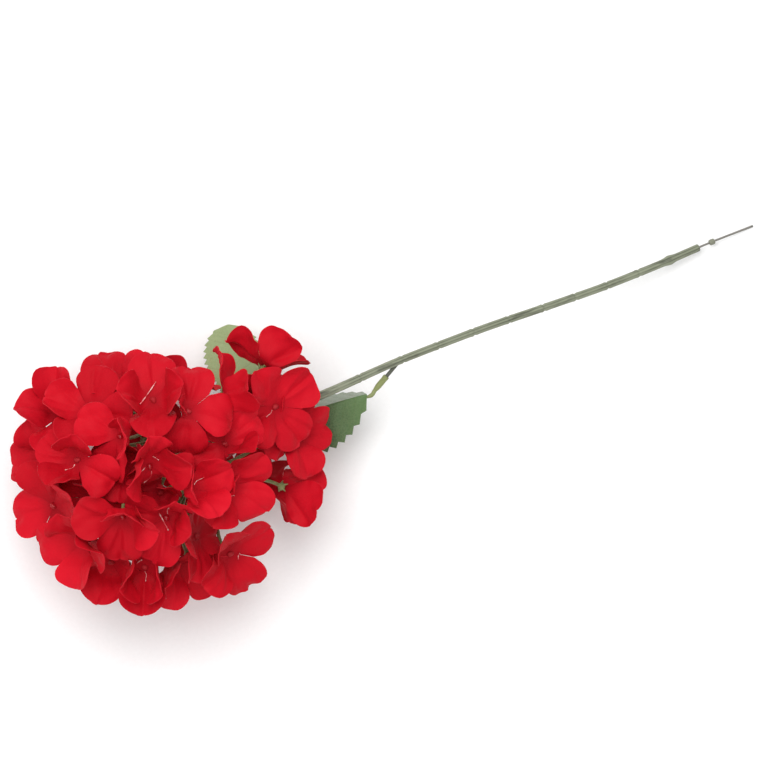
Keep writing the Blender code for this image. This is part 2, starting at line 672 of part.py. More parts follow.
def plan_florets():
    """All florets with their frames: those seen from above, then the rings underneath."""
    draw = random.Random(SEED)
    plans = []
    for name, sprig, place, (towards, lean), first_petal, bends, folds in FLORETS:
        normal, first = lean_frame(towards, lean, first_petal)
        plans.append({"name": name, "sprig": sprig, "centre": np.array(place, float),
                      "normal": normal, "first": first, "bends": bends, "folds": folds})
    for name, count, radius, height, lean, offset in UNDER_RINGS:
        for j in range(count):
            around = offset + j * 360.0 / count
            place = (
                HEAD_CENTRE[0] + radius * math.cos(math.radians(around)),
                HEAD_CENTRE[1] + radius * math.sin(math.radians(around)),
                height + draw.uniform(-UNDER_HEIGHT_PLAY, UNDER_HEIGHT_PLAY),
            )
            turn = draw.uniform(-UNDER_TURN_PLAY, UNDER_TURN_PLAY)
            normal, first = lean_frame(around, lean, around + 180.0 + turn)
            sprig = "under_back" if math.sin(math.radians(around)) > 0 else "under_front"
            bends = tuple(draw.uniform(*UNDER_BEND) for _ in range(PETALS))
            folds = tuple(draw.uniform(*UNDER_FOLD) for _ in range(PETALS))
            plans.append({"name": f"{name}_{j + 1}", "sprig": sprig, "centre": np.array(place),
                          "normal": normal, "first": first, "bends": bends, "folds": folds})
    for plan in plans:
        plan["scale"] = draw.uniform(*FLORET_SCALE)
        plan["forms"] = []
        for bend, fold in zip(plan["bends"], plan["folds"]):
            plan["forms"].append({
                "bend": bend,
                "flare": draw.uniform(*FLARE),
                "fold": fold,
                "twist": draw.uniform(*TWIST),
                "scale": plan["scale"],
            })
    return plans


def form_choices(form):
    """The wished form first, then forms that depart from it more and more."""
    for shrink in SHRINKS:
        for shift in BEND_SHIFTS:
            for turn in TWIST_SHIFTS:
                bend = form["bend"] + shift
                if BEND_RANGE[0] <= bend <= BEND_RANGE[1]:
                    yield {**form, "bend": bend, "twist": form["twist"] + turn,
                           "scale": form["scale"] * shrink}


def settle_florets(plans, arms, fixed):
    """Choose the form of each petal, one floret after another, so that nothing touches."""
    placed = []
    disc = ((-MIDDLE_HALF_HEIGHT, MIDDLE_RADIUS), (MIDDLE_HALF_HEIGHT, MIDDLE_RADIUS))
    middles = [turned(plan["centre"], plan["normal"], disc) for plan in plans]
    for number, plan in enumerate(plans):
        around = list(fixed) + placed + middles[number + 1:]
        for other, arm in enumerate(arms):
            if other == number:
                arm = without_near(arm, plan["centre"], OWN_CALYX)
            around.append(arm)
        tree = tree_of(around)
        tries = []
        for clearance in CLEARANCES:
            forms, missed = choose_forms(plan, tree, clearance)
            solid = floret_solid(plan, forms)
            faults = 2 * (missed > 0 or touches(solid, tree)) + crosses_itself(solid)
            tries.append((faults, clearance, missed, forms, solid))
            if not faults:
                break
        faults, clearance, missed, forms, solid = min(tries, key=lambda tried: tried[:2])
        plan["forms"] = forms
        placed.append(solid)
        bends = " ".join(f"{form['bend']:.0f}/{form['scale']:.2f}" for form in forms)
        print(f"{plan['name']}: bend/scale {bends}, clearance {clearance}, faults {faults}")
    return placed


def choose_forms(plan, tree, clearance):
    """The form of each petal of one floret that is clear of the tree and of its neighbours."""
    chosen = []
    probes = []
    missed = 0
    for k, form in enumerate(plan["forms"]):
        own = tree_of(probes) if probes else None
        for choice in form_choices(form):
            probe = petal_probe(plan, k, choice, clearance)
            if touches(probe, tree):
                continue
            if own is not None and touches(outer_part(probe), own):
                continue
            break
        else:
            missed += 1
        chosen.append(choice)
        probes.append(outer_part(probe))
    return chosen, missed


def outer_part(probe):
    """The outer two thirds of a petal probe, where it is free of its neighbours' roots."""
    points, faces = probe
    half = len(points) // 2
    inner = {i for i in range(5)} | {half + i for i in range(5)}
    return points, [face for face in faces if not any(i in inner for i in face)]


def leaf_outline(share, taper):
    """Half width of a leaf as a share of its widest, from the foot (0) to the tip (1)."""
    widest_place, fullness = taper
    return math.sin(math.pi * min(max(share, 0.0), 1.0) ** widest_place) ** fullness


def leaf_axes(rib, i):
    """Direction of the rib, and the level direction across it, at one station."""
    forward = unit(rib[min(i + 1, len(rib) - 1)] - rib[max(i - 1, 0)])
    across = unit(np.cross((0.0, 0.0, 1.0), forward))
    return forward, across, np.cross(forward, across)


def blade_solid(leaf):
    """Leaf blade: rows across the rib, the side points out at each tooth and back between."""
    rows = 2 * leaf["teeth"] + 1
    ridge_aside, ridge_up = leaf["ridge"]
    rib = bezier(*[np.array(point, float) for point in leaf["ribs"]], rows)
    vertices = []
    for i in range(rows):
        share = i / (rows - 1)
        forward, across, up = leaf_axes(rib, i)
        width = leaf["half_width"] * leaf_outline(share, leaf["taper"])
        tooth = leaf["tooth"] if i % 2 else 0.0
        tooth *= 1.0 if 0 < i < rows - 1 else 0.0
        rise = RIB_RADIUS + RIB_GAP + FABRIC / 2 + ridge_up
        base = rib[i] + up * rise - across * ridge_aside
        for side, fold in ((-1.0, leaf["far_fold"]), (1.0, leaf["near_fold"])):
            columns = LEAF_COLUMNS[:0:-1] if side < 0 else LEAF_COLUMNS
            for column in columns:
                reach = column * (width + 0.6) + (tooth if column == 1.0 else 0.0)
                angle = math.radians(fold)
                out = across * side * math.cos(angle) + up * math.sin(angle)
                sag = forward * (-0.22 * tooth if column == 1.0 else 0.0)
                vertices.append(base + out * reach + sag)
    points = press(np.array(vertices))
    faces = []
    for i in range(rows - 1):
        low = list(range(5 * i, 5 * i + 5))
        high = list(range(5 * i + 5, 5 * i + 10))
        faces += [tuple(reversed(face)) for face in grid_faces((low, high), 5)]
    return thicken(points, faces, FABRIC, open_edges(faces))


def stalk_solids(leaf):
    """The leaf stalk: a socket over the stub, a bent rod, and the rib under the blade."""
    origin = stem_point(leaf["stem_x"])
    fork = fork_point(origin, leaf["stub"], leaf["socket_at"])
    rib = [np.array(point, float) for point in leaf["ribs"]]
    forward = unit(rib[1] - rib[0])
    rod = bezier(fork, fork + unit(leaf["stub"]) * 3.0, rib[0] - forward * 4.0, rib[0], 5)
    along = bezier(*rib, 9)[1:-2]
    points = np.vstack([rod, along])
    radii = [RIB_RADIUS * 1.5] * 4 + [RIB_RADIUS]
    radii += list(np.linspace(RIB_RADIUS, RIB_RADIUS * 0.5, len(along)))
    return [
        socket(origin, leaf["stub"], leaf["socket_at"], LEAF_SOCKET),
        skin(rings_along(points, radii, STALK_SIDES)),
    ]


def clear_scene():
    """Remove what a new file holds."""
    for item in list(bpy.data.objects):
        bpy.data.objects.remove(item)


def count_triangles():
    """Print the triangles of every object and their sum."""
    total = 0
    for item in bpy.data.objects:
        item.data.calc_loop_triangles()
        total += len(item.data.loop_triangles)
    print("objects", len(bpy.data.objects), "triangles", total)


def report_overlaps(solids):
    """Print the pairs of solids whose surfaces cross."""
    trees = {name: tree_of([solid]) for name, solid in solids.items()}
    names = sorted(trees)
    crossing = 0
    for i, first in enumerate(names):
        for second in names[i + 1:]:
            if trees[first].overlap(trees[second]):
                crossing += 1
                print("crossing", first, second)
    print("crossing pairs", crossing)


def joined_list(solids):
    """Several solids as one list of points and triangles."""
    vertices = []
    faces = []
    for points, polygons in solids:
        offset = len(vertices)
        vertices.extend(points)
        faces.extend(tuple(offset + i for i in face) for face in polygons)
    return np.array(vertices), faces


def ring_solid(x, profile):
    """A turned ring round the wire: the profile is closed on itself."""
    origin = stem_point(x)
    axis = unit(stem_point(x + 1.0) - stem_point(x - 1.0))
    across = unit(np.cross(axis, (0.0, 0.0, 1.0)))
    up = np.cross(axis, across)
    angles = np.arange(ROUND_SIDES) * (2 * math.pi / ROUND_SIDES)
    circle = np.outer(np.cos(angles), across) + np.outer(np.sin(angles), up)
    vertices = []
    for along, radius in profile:
        vertices.extend(origin + axis * along + circle * radius)
    faces = []
    count = len(profile)
    for i in range(count):
        for j in range(ROUND_SIDES):
            a = i * ROUND_SIDES + j
            b = i * ROUND_SIDES + (j + 1) % ROUND_SIDES
            c = ((i + 1) % count) * ROUND_SIDES + (j + 1) % ROUND_SIDES
            d = ((i + 1) % count) * ROUND_SIDES + j
            faces.append((a, b, c))
            faces.append((a, c, d))
    return np.array(vertices), faces


def build():
    """Make the wire, sheath, bead, leaves, sprigs and florets."""
    clear_scene()
    soft = (FABRIC_RED, SHEATH_GREEN, SPRIG_GREEN, LEAF_DARK, LEAF_PALE)
    looks = {look[0]: material(*look) for look in soft}
    steel = material(*WIRE_STEEL, metallic=0.8)
    sheath = [sheath_solid()]
    sprig_solids = {}
    for name, (x, direction, socket_at) in SPRIGS.items():
        sheath.append(stub(x, direction, socket_at))
        sprig_solids[name] = [socket(stem_point(x), direction, socket_at, SPRIG_SOCKET)]
    for leaf in LEAVES.values():
        sheath.append(stub(leaf["stem_x"], leaf["stub"], leaf["socket_at"]))
    plans = plan_florets()
    arms = []
    for plan in plans:
        x, direction, socket_at = SPRIGS[plan["sprig"]]
        fork = fork_point(stem_point(x), direction, socket_at)
        arm = arm_solid(fork, direction, plan["centre"], plan["normal"])
        arms.append(arm)
        sprig_solids[plan["sprig"]].append(arm)
    blades = {name: blade_solid(leaf) for name, leaf in LEAVES.items()}
    stalks = {name: stalk_solids(leaf) for name, leaf in LEAVES.items()}
    fixed = list(sheath) + list(blades.values())
    for solids in list(sprig_solids.values()) + list(stalks.values()):
        fixed.append(solids[0])
    for solids in stalks.values():
        fixed.append(solids[1])
    florets = settle_florets(plans, arms, fixed)
    add_solid("stem_wire", *wire_solid(), steel)
    fuse("stem_sheath", sheath, looks["stem_sheath_plastic"])
    bead_profile = (
        (-BEAD_LENGTH / 2, SHEATH_BORE_RADIUS), (-BEAD_LENGTH / 2, BEAD_RADIUS * 0.7),
        (-BEAD_LENGTH / 4, BEAD_RADIUS), (BEAD_LENGTH / 4, BEAD_RADIUS),
        (BEAD_LENGTH / 2, BEAD_RADIUS * 0.7), (BEAD_LENGTH / 2, SHEATH_BORE_RADIUS),
    )
    add_solid("wire_bead", *ring_solid(BEAD_X, bead_profile), looks["sprig_plastic"])
    for name, solids in sprig_solids.items():
        fuse("sprig_" + name, solids, looks["sprig_plastic"])
    for name, leaf in LEAVES.items():
        add_solid(name + "_blade", *blades[name], looks[leaf["look"][0]])
        fuse(name + "_stalk", stalks[name], looks["sprig_plastic"])
    for plan, solid in zip(plans, florets):
        add_solid("floret_" + plan["name"], *solid, looks["floret_fabric"])
    checked = {"floret_" + plan["name"]: solid for plan, solid in zip(plans, florets)}
    checked.update({name + "_blade": solid for name, solid in blades.items()})
    for name, solids in sprig_solids.items():
        checked["sprig_" + name] = joined_list(solids)
    for name, solids in stalks.items():
        checked[name + "_stalk"] = joined_list(solids)
    checked["stem_sheath"] = joined_list(sheath)
    report_overlaps(checked)
    print("lowest", min((round(float(solid[0][:, 2].min()), 3), name) for name, solid in checked.items()))
    everything = np.vstack([points for points, _ in checked.values()] + [wire_solid()[0]])
    print("box", everything.min(axis=0).round(2), everything.max(axis=0).round(2))
    count_triangles()


build()
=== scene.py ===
# %% [markdown]
# # An artificial hydrangea, laid on its side
# The real stem is a steel wire in a plastic sheath. Moulded sprigs plug onto short stubs
# of the sheath, and each of their pegs holds one floret: a cross of four petals stamped
# from red polyester cloth, stiffened, pressed warm into shape and held on by hot glue.
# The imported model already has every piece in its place, with few faces. This lesson
# dresses each piece with a finer one that keeps its form, and gives it its finish.

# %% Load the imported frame
import math
import random

import bpy
import numpy as np
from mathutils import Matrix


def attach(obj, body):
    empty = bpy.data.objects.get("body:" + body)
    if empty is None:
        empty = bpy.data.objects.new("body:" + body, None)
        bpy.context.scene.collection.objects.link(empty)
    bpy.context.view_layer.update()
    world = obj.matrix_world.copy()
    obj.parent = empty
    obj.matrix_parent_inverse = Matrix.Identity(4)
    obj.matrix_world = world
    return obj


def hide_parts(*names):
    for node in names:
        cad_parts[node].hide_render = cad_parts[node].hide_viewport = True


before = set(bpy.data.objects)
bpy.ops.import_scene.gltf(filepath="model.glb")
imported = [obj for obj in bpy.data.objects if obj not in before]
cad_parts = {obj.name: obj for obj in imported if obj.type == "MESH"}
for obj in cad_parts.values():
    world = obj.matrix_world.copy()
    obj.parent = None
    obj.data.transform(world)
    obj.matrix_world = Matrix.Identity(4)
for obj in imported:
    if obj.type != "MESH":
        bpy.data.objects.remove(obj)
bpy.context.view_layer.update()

print("nodes in the frame:", len(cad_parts))

# %% [markdown]
# ## Units, axes and small helpers
# A maker thinks in millimetres here, so every length below is in millimetres and every
# angle in degrees, and only the last step turns points into metres. +X runs along the
# stem to the cut end of the wire, and z = 0 is the surface that the flower lies on.

# %% Units and vector helpers
METRE = 0.001                                # metres in a millimetre
ORIGIN_SHIFT = np.array([-0.2, -2.9, 0.0])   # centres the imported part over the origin
SEED = 48
UP = np.array([0.0, 0.0, 1.0])


def unit(vectors):
    """vector / |vector|, for one vector or for each row of an array."""
    vectors = np.asarray(vectors, float)
    return vectors / np.maximum(np.linalg.norm(vectors, axis=-1, keepdims=True), 1e-12)


def heading(degrees):
    """Level direction (cos a, sin a, 0) at an angle round +Z from +X."""
    angle = math.radians(degrees)
    return np.array([math.cos(angle), math.sin(angle), 0.0])


def even_angles(count):
    """This many angles a = 2 pi k / count, evenly round a full turn."""
    return np.arange(count) * 2 * math.pi / count


def smooth(value, start, span):
    """Smooth step: t t (3 - 2 t), with t = (value - start) / span kept within 0 and 1."""
    t = np.clip((np.asarray(value, float) - start) / span, 0.0, 1.0)
    return t * t * (3.0 - 2.0 * t)


def bell(value, middle, half_width):
    """exp(-((value - middle) / half_width) ^ 2): a bump of height one."""
    return np.exp(-((np.asarray(value, float) - middle) / half_width) ** 2)


print("half way up a smooth step:", smooth(0.5, 0, 1), "bell at its half width:", bell(1, 0, 1).round(3))

# %% [markdown]
# ## From arrays to meshes
# A piece is one or more shapes, each an array of points with an array of four-cornered
# faces. They could be added one vertex at a time, but whole arrays written with
# foreach_set are far quicker, and they keep each formula in one line.

# %% Join shapes into one piece
def join(shapes):
    """Stack several (points, quads) shapes, moving each one's face numbers up."""
    starts = np.cumsum([0] + [len(points) for points, _ in shapes[:-1]])
    quads = [faces + start for (_, faces), start in zip(shapes, starts)]
    return np.vstack([points for points, _ in shapes]), np.vstack(quads)


def grid_faces(numbers):
    """Faces (i, j), (i+1, j), (i+1, j+1), (i, j+1) of one or more grids of point numbers."""
    corners = numbers[..., :-1, :-1], numbers[..., 1:, :-1], numbers[..., 1:, 1:], numbers[..., :-1, 1:]
    return np.stack(corners, axis=-1).reshape(-1, 4)


print("faces of a grid of 3 by 4 points:", len(grid_faces(np.arange(12).reshape(3, 4))))

# %% Write a piece
def put(name, data, location=(0.0, 0.0, 0.0), rotation=(0.0, 0.0, 0.0)):
    """An object for a mesh, a light or a camera, at a place in metres."""
    made = bpy.data.objects.new(name, data)
    made.location = location
    made.rotation_euler = rotation
    bpy.context.scene.collection.objects.link(made)
    return made


def make_piece(name, shape, look, nodes, sharp=None):
    """Write a shape into a mesh, in metres, let it ride on the root body, and hide its CAD nodes.
    The shape is (points, quads), or (points, quads, flat map, rim map)."""
    points, quads, *maps = shape
    mesh = bpy.data.meshes.new(name)
    mesh.vertices.add(len(points))
    mesh.vertices.foreach_set("co", ((points + ORIGIN_SHIFT) * METRE).astype(np.float32).ravel())
    mesh.loops.add(quads.size)
    mesh.loops.foreach_set("vertex_index", quads.astype(np.int32).ravel())
    mesh.polygons.add(len(quads))
    mesh.polygons.foreach_set("loop_start", np.arange(0, quads.size, 4, dtype=np.int32))
    mesh.polygons.foreach_set("use_smooth", np.ones(len(quads), bool))
    mesh.update(calc_edges=True)
    for title, values in zip(("flat", "rim"), maps):
        layer = mesh.uv_layers.new(name=title)
        layer.data.foreach_set("uv", values[quads.ravel()].astype(np.float32).ravel())
    if sharp is not None:
        ends = np.zeros(len(mesh.edges) * 2, np.int32)
        mesh.edges.foreach_get("vertices", ends)
        mesh.edges.foreach_set("use_edge_sharp", sharp[ends].reshape(-1, 2).all(axis=1))
    mesh.materials.append(look)
    mesh.validate()
    made = put(name, mesh)
    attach(made, "root")
    if nodes:
        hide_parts(*nodes)


# %% [markdown]
# ## Tubes and turned shapes
# The wire, the sheath, the sprigs and the leaf stalks are all round in section. Each is a
# circle carried along a path, with a radius that changes on the way. The circle's frame
# is turned as little as possible from one station to the next, so that it never twists.

# %% Carry a circle along a path
CLOSING_SHARE = 0.02     # radius of a closing ring, as a share of the end's
SHORT_NORMAL = 0.05      # a normal shorter than this has turned into the path
STEEP = 0.9              # an axis with more of +Z than this takes +X as its helper


def loop_faces(rows, columns):
    """Faces of a grid whose last column joins its first, turned to face out of the tube."""
    numbers = np.arange(rows * columns).reshape(rows, columns)
    return grid_faces(np.hstack([numbers, numbers[:, :1]]))[:, [0, 3, 2, 1]]


def ring_shape(path, normals, across, radii, sides, start=0.0):
    """Points p + r (n cos a + b sin a) of a ring at each station, closed at each end by a
    last, tiny ring. The radii are one to a ring, or one to each of its points."""
    stations = [0, *range(len(path)), -1]
    radii = np.array(radii, float).reshape(len(path), -1)[stations]
    radii[[0, -1]] *= CLOSING_SHARE
    angle = start + even_angles(sides)
    circle = normals[stations][:, None] * np.cos(angle)[:, None]
    circle = circle + across[stations][:, None] * np.sin(angle)[:, None]
    points = path[stations][:, None] + circle * radii[..., None]
    return points.reshape(-1, 3), loop_faces(len(stations), sides)


def tube(path, radii, sides):
    """Rings along a path. Each normal is the one before it less its part along the path."""
    path = np.asarray(path, float)
    tangents = unit(np.gradient(path, axis=0))
    normal = UP
    normals = []
    for tangent in tangents:
        normal = normal - tangent * normal.dot(tangent)
        if np.linalg.norm(normal) < SHORT_NORMAL:
            normal = np.cross(tangent, (1.0, 0.0, 0.0))
        normal = unit(normal)
        normals.append(normal)
    normals = np.array(normals)
    return ring_shape(path, normals, np.cross(tangents, normals), radii, sides)


def turned(origin, axis, profile, sides):
    """Rings along a straight axis. The profile is rows of (distance along, radius)."""
    profile = np.asarray(profile, float)
    axis = unit(axis)
    across = unit(np.cross(axis, UP if abs(axis[2]) < STEEP else (1.0, 0.0, 0.0)))
    path = np.asarray(origin) + axis * profile[:, :1]
    every = np.ones((len(path), 1))
    return ring_shape(path, across * every, np.cross(axis, across) * every, profile[:, 1], sides)


def bezier(p0, p1, p2, p3, steps):
    """Cubic curve (1-t)^3 p0 + 3 t (1-t)^2 p1 + 3 t^2 (1-t) p2 + t^3 p3."""
    t = np.linspace(0.0, 1.0, steps)[:, None]
    return (1 - t) ** 3 * p0 + 3 * t * (1 - t) ** 2 * p1 + 3 * t * t * (1 - t) * p2 + t**3 * p3


print("points of a six-sided tube with two stations:", len(tube([(0, 0, 0), (1, 0, 0)], [1, 1], 6)[0]))

# %% [markdown]
# ## Materials: colours and nodes
# A maker picks colours as sRGB hex values, while the shader works in linear light,
# so one function turns the first into the second. One helper adds any node: settings by
# name, and then its inputs in their order. A finish is a ground colour with tints laid
# over it, a roughness and a bump. Plastics read Object coordinates. Cloth reads the UV map
# "flat", which holds each point's place on the flat cloth in millimetres, so the weave
# follows the petal when it is bent. Noise is sized by the width of its patches.

# %% Colour and node helpers
def linear(hex_colour):
    """sRGB to linear: c / 12.92 up to 0.04045, and ((c + 0.055) / 1.055) ^ 2.4 above it."""
    parts = [int(hex_colour[i:i + 2], 16) / 255.0 for i in (0, 2, 4)]
    return [c / 12.92 if c <= 0.04045 else ((c + 0.055) / 1.055) ** 2.4 for c in parts] + [1.0]


def feed(tree, socket, value):
    """Link a socket or a node's first output in use, or type in a number or a hex colour."""
    if isinstance(value, bpy.types.Node):
        value = next(output for output in value.outputs if output.enabled)
    if isinstance(value, bpy.types.NodeSocket):
        tree.links.new(value, socket)
    else:
        socket.default_value = linear(value) if isinstance(value, str) else value


def add(tree, kind, *inputs, **settings):
    """Add one node with its settings, and feed its inputs in use, in their order."""
    made = tree.nodes.new("ShaderNode" + kind)
    for key, value in settings.items():
        setattr(made, key, value)
    for socket, value in zip([socket for socket in made.inputs if socket.enabled], inputs):
        feed(tree, socket, value)
    return made


def new_look(name, **sockets):
    """A material with its Principled shader, and the sockets that are the same all over it."""
    made = bpy.data.materials.new(name)
    made.use_nodes = True
    shader = made.node_tree.nodes["Principled BSDF"]
    for key, value in sockets.items():
        feed(made.node_tree, shader.inputs[key.replace("_", " ")], value)
    return made, made.node_tree, shader


def surface(tree, shader, ground, layers, rough, height=None, strength=0.5, depth=0.6):
    """Feed the shader its colour, which is the ground with each (share, tint) mixed over it
    in turn, its roughness, and a bump of the height with its depth in millimetres."""
    colour = ground
    for share, tint in layers:
        colour = add(tree, "Mix", share, colour, tint, data_type="RGBA")
    feed(tree, shader.inputs["Base Color"], colour)
    feed(tree, shader.inputs["Roughness"], rough)
    if height is not None:
        bump = add(tree, "Bump", strength, depth * METRE)
        feed(tree, bump.inputs["Height"], height)
        feed(tree, shader.inputs["Normal"], bump)


def per_metre(patch):
    """Scale of a noise whose patches are this many millimetres wide."""
    return 1.0 / (patch * METRE)


print("white in linear light:", linear("ffffff"), "and noise scale for 2 mm:", per_metre(2.0))

# %% [markdown]
# ## Red polyester cloth
# The petals are plain-woven polyester taffeta, dyed in the piece, sized with stiffener
# and stamped out hot, which leaves a satin bloom, fine veins from the warm press and a
# hard cut edge, painted paler in patches as a highlight where light catches it. The threads are about 0.25
# mm apart, too fine to show here, so the weave is drawn at 0.9 mm. The cloth is painted darker towards the
# hole, as shade in the floret's cupped throat.

# %% Petal cloth
THREAD_MM = 0.9
CRINKLE_MM = 6.25
PATCH_MM = 29.4
SHADED_THROAT_MM = 11.0             # the painted shade at the throat fades out here
RIM_HIGHLIGHT_LINE = (0.985, 1.01)    # share of the way to the rim where the painted rim highlight starts
RIM_HIGHLIGHT_BREAKS = (0.389, 1.5)     # values of the slow noise that hide and show that painted highlight
VEINS_PER_RADIAN = 26.0
VEIN_ROOT_MM = 9.0           # the veins fan out from this far behind the hole


def weave(tree, u, v):
    """sin(2 pi u / thread) sin(2 pi v / thread): high where a thread lies over another."""
    waves = []
    for along in (u, v):
        turns = add(tree, "Math", along, 2 * math.pi / THREAD_MM, operation="MULTIPLY")
        waves.append(add(tree, "Math", turns, operation="SINE"))
    return add(tree, "Math", *waves, operation="MULTIPLY")


def petal_cloth():
    """Red taffeta: weave and fan of veins in the bump; bloom, painted shade at the throat and a painted rim
    highlight in the colour.
    """
    look, tree, shader = new_look("red_polyester_taffeta", Specular_IOR_Level=0.07, Sheen_Weight=0.03,
                                  Sheen_Roughness=0.4, Sheen_Tint="ff9a94")
    flat = add(tree, "UVMap", uv_map="flat")
    place = add(tree, "TexCoord").outputs["Object"]
    u, v, _ = add(tree, "SeparateXYZ", flat).outputs
    edge, tone, _ = add(tree, "SeparateXYZ", add(tree, "UVMap", uv_map="rim")).outputs
    threads = weave(tree, u, v)
    fan = add(tree, "Math", u, add(tree, "Math", v, VEIN_ROOT_MM, operation="ADD"), operation="DIVIDE")
    veins = add(tree, "Math", fan, VEINS_PER_RADIAN, operation="MULTIPLY")
    veins = add(tree, "Math", add(tree, "Math", veins, operation="SINE"), operation="ABSOLUTE")
    veins = add(tree, "Math", veins, 0.5, operation="POWER")
    crinkle = add(tree, "TexNoise", flat, 1.0 / CRINKLE_MM, 4.0, 0.6)
    patches = add(tree, "TexNoise", place, per_metre(PATCH_MM), 3.0)
    edge = add(tree, "MapRange", edge, *RIM_HIGHLIGHT_LINE)
    rim_highlight_patches = add(tree, "MapRange", patches, *RIM_HIGHLIGHT_BREAKS)
    layers = (
        (tone, "d21226"),
        (add(tree, "Math", patches, 0.5, operation="MULTIPLY"), "a20616"),
        # painted shade: darker towards the hole, in the floret's cupped throat
        (add(tree, "MapRange", v, SHADED_THROAT_MM, 1.0, 0.0, 0.6), "780410"),
        (add(tree, "Math", threads, 0.04, 0.05, operation="MULTIPLY_ADD"), "dc2c3c"),
        # painted highlight along the cut rim, broken up by slow noise
        (add(tree, "Math", edge, rim_highlight_patches, operation="MULTIPLY"), "d84a58"),
    )
    height = add(tree, "Math", veins, 0.16, operation="MULTIPLY")
    height = add(tree, "Math", threads, 0.05, height, operation="MULTIPLY_ADD")
    height = add(tree, "Math", crinkle, 0.9, height, operation="MULTIPLY_ADD")
    rough = add(tree, "Math", crinkle, 0.22, 0.46, operation="MULTIPLY_ADD")
    surface(tree, shader, "b4081a", layers, rough, height)
    return look


RED_CLOTH = petal_cloth()
print("petal cloth: weave drawn at", THREAD_MM, "mm")

# %% [markdown]
# ## The stem's route
# The wire and sheath leave the head low over the surface and come down to it at the cut
# end. From above they are nearly straight, and their small bends are given by a few
# points with a smooth curve through them. In side view they fall at an even slope.

# %% Stem route
STEM_ROUTE = (
    (239.6, 11.0), (213.0, 11.0), (171.0, 9.6), (139.0, 9.6), (107.0, 10.7), (76.0, 12.1),
    (44.0, 12.7), (12.0, 12.7), (-28.0, 10.9), (-64.0, 9.6), (-100.0, 8.0), (-138.0, 6.5),
)
WIRE_RADIUS = 0.64
WIRE_TIP_X = 239.6
WIRE_END_X = -94.0
STEM_SLOPE = 10.9
WIRE_LIFT = 0.02


def stem_point(x):
    """Hermite curve through the route for y, and z = wire radius + lift + (tip - x) tan(slope)."""
    x = np.atleast_1d(np.asarray(x, float))
    xs, ys = np.array(STEM_ROUTE[::-1]).T
    slopes = np.gradient(ys, xs)
    i = np.clip(np.searchsorted(xs, x) - 1, 0, len(xs) - 2)
    span = xs[i + 1] - xs[i]
    t = (x - xs[i]) / span
    y = (
        ys[i] * (1 + 2 * t) * (1 - t) ** 2
        + slopes[i] * span * t * (1 - t) ** 2
        + ys[i + 1] * t * t * (3 - 2 * t)
        - slopes[i + 1] * span * t * t * (1 - t)
    )
    z = WIRE_RADIUS + WIRE_LIFT + (WIRE_TIP_X - x) * math.tan(math.radians(STEM_SLOPE))
    points = np.stack([x, y, z], axis=-1)
    return points[0] if len(points) == 1 else points


print("stem length from above:", round(STEM_ROUTE[0][0] - STEM_ROUTE[-1][0], 1), "mm")

# %% [markdown]
# ## The florets' places
# Each floret is known by the sprig that carries it, the place of its hole, the way it
# leans, where its first petal points and how far each petal is bent up and folded. The
# last few grow under the head, in two rings with seeded draws. These are the same named
# values that placed the solids, so the finer petals land on them.

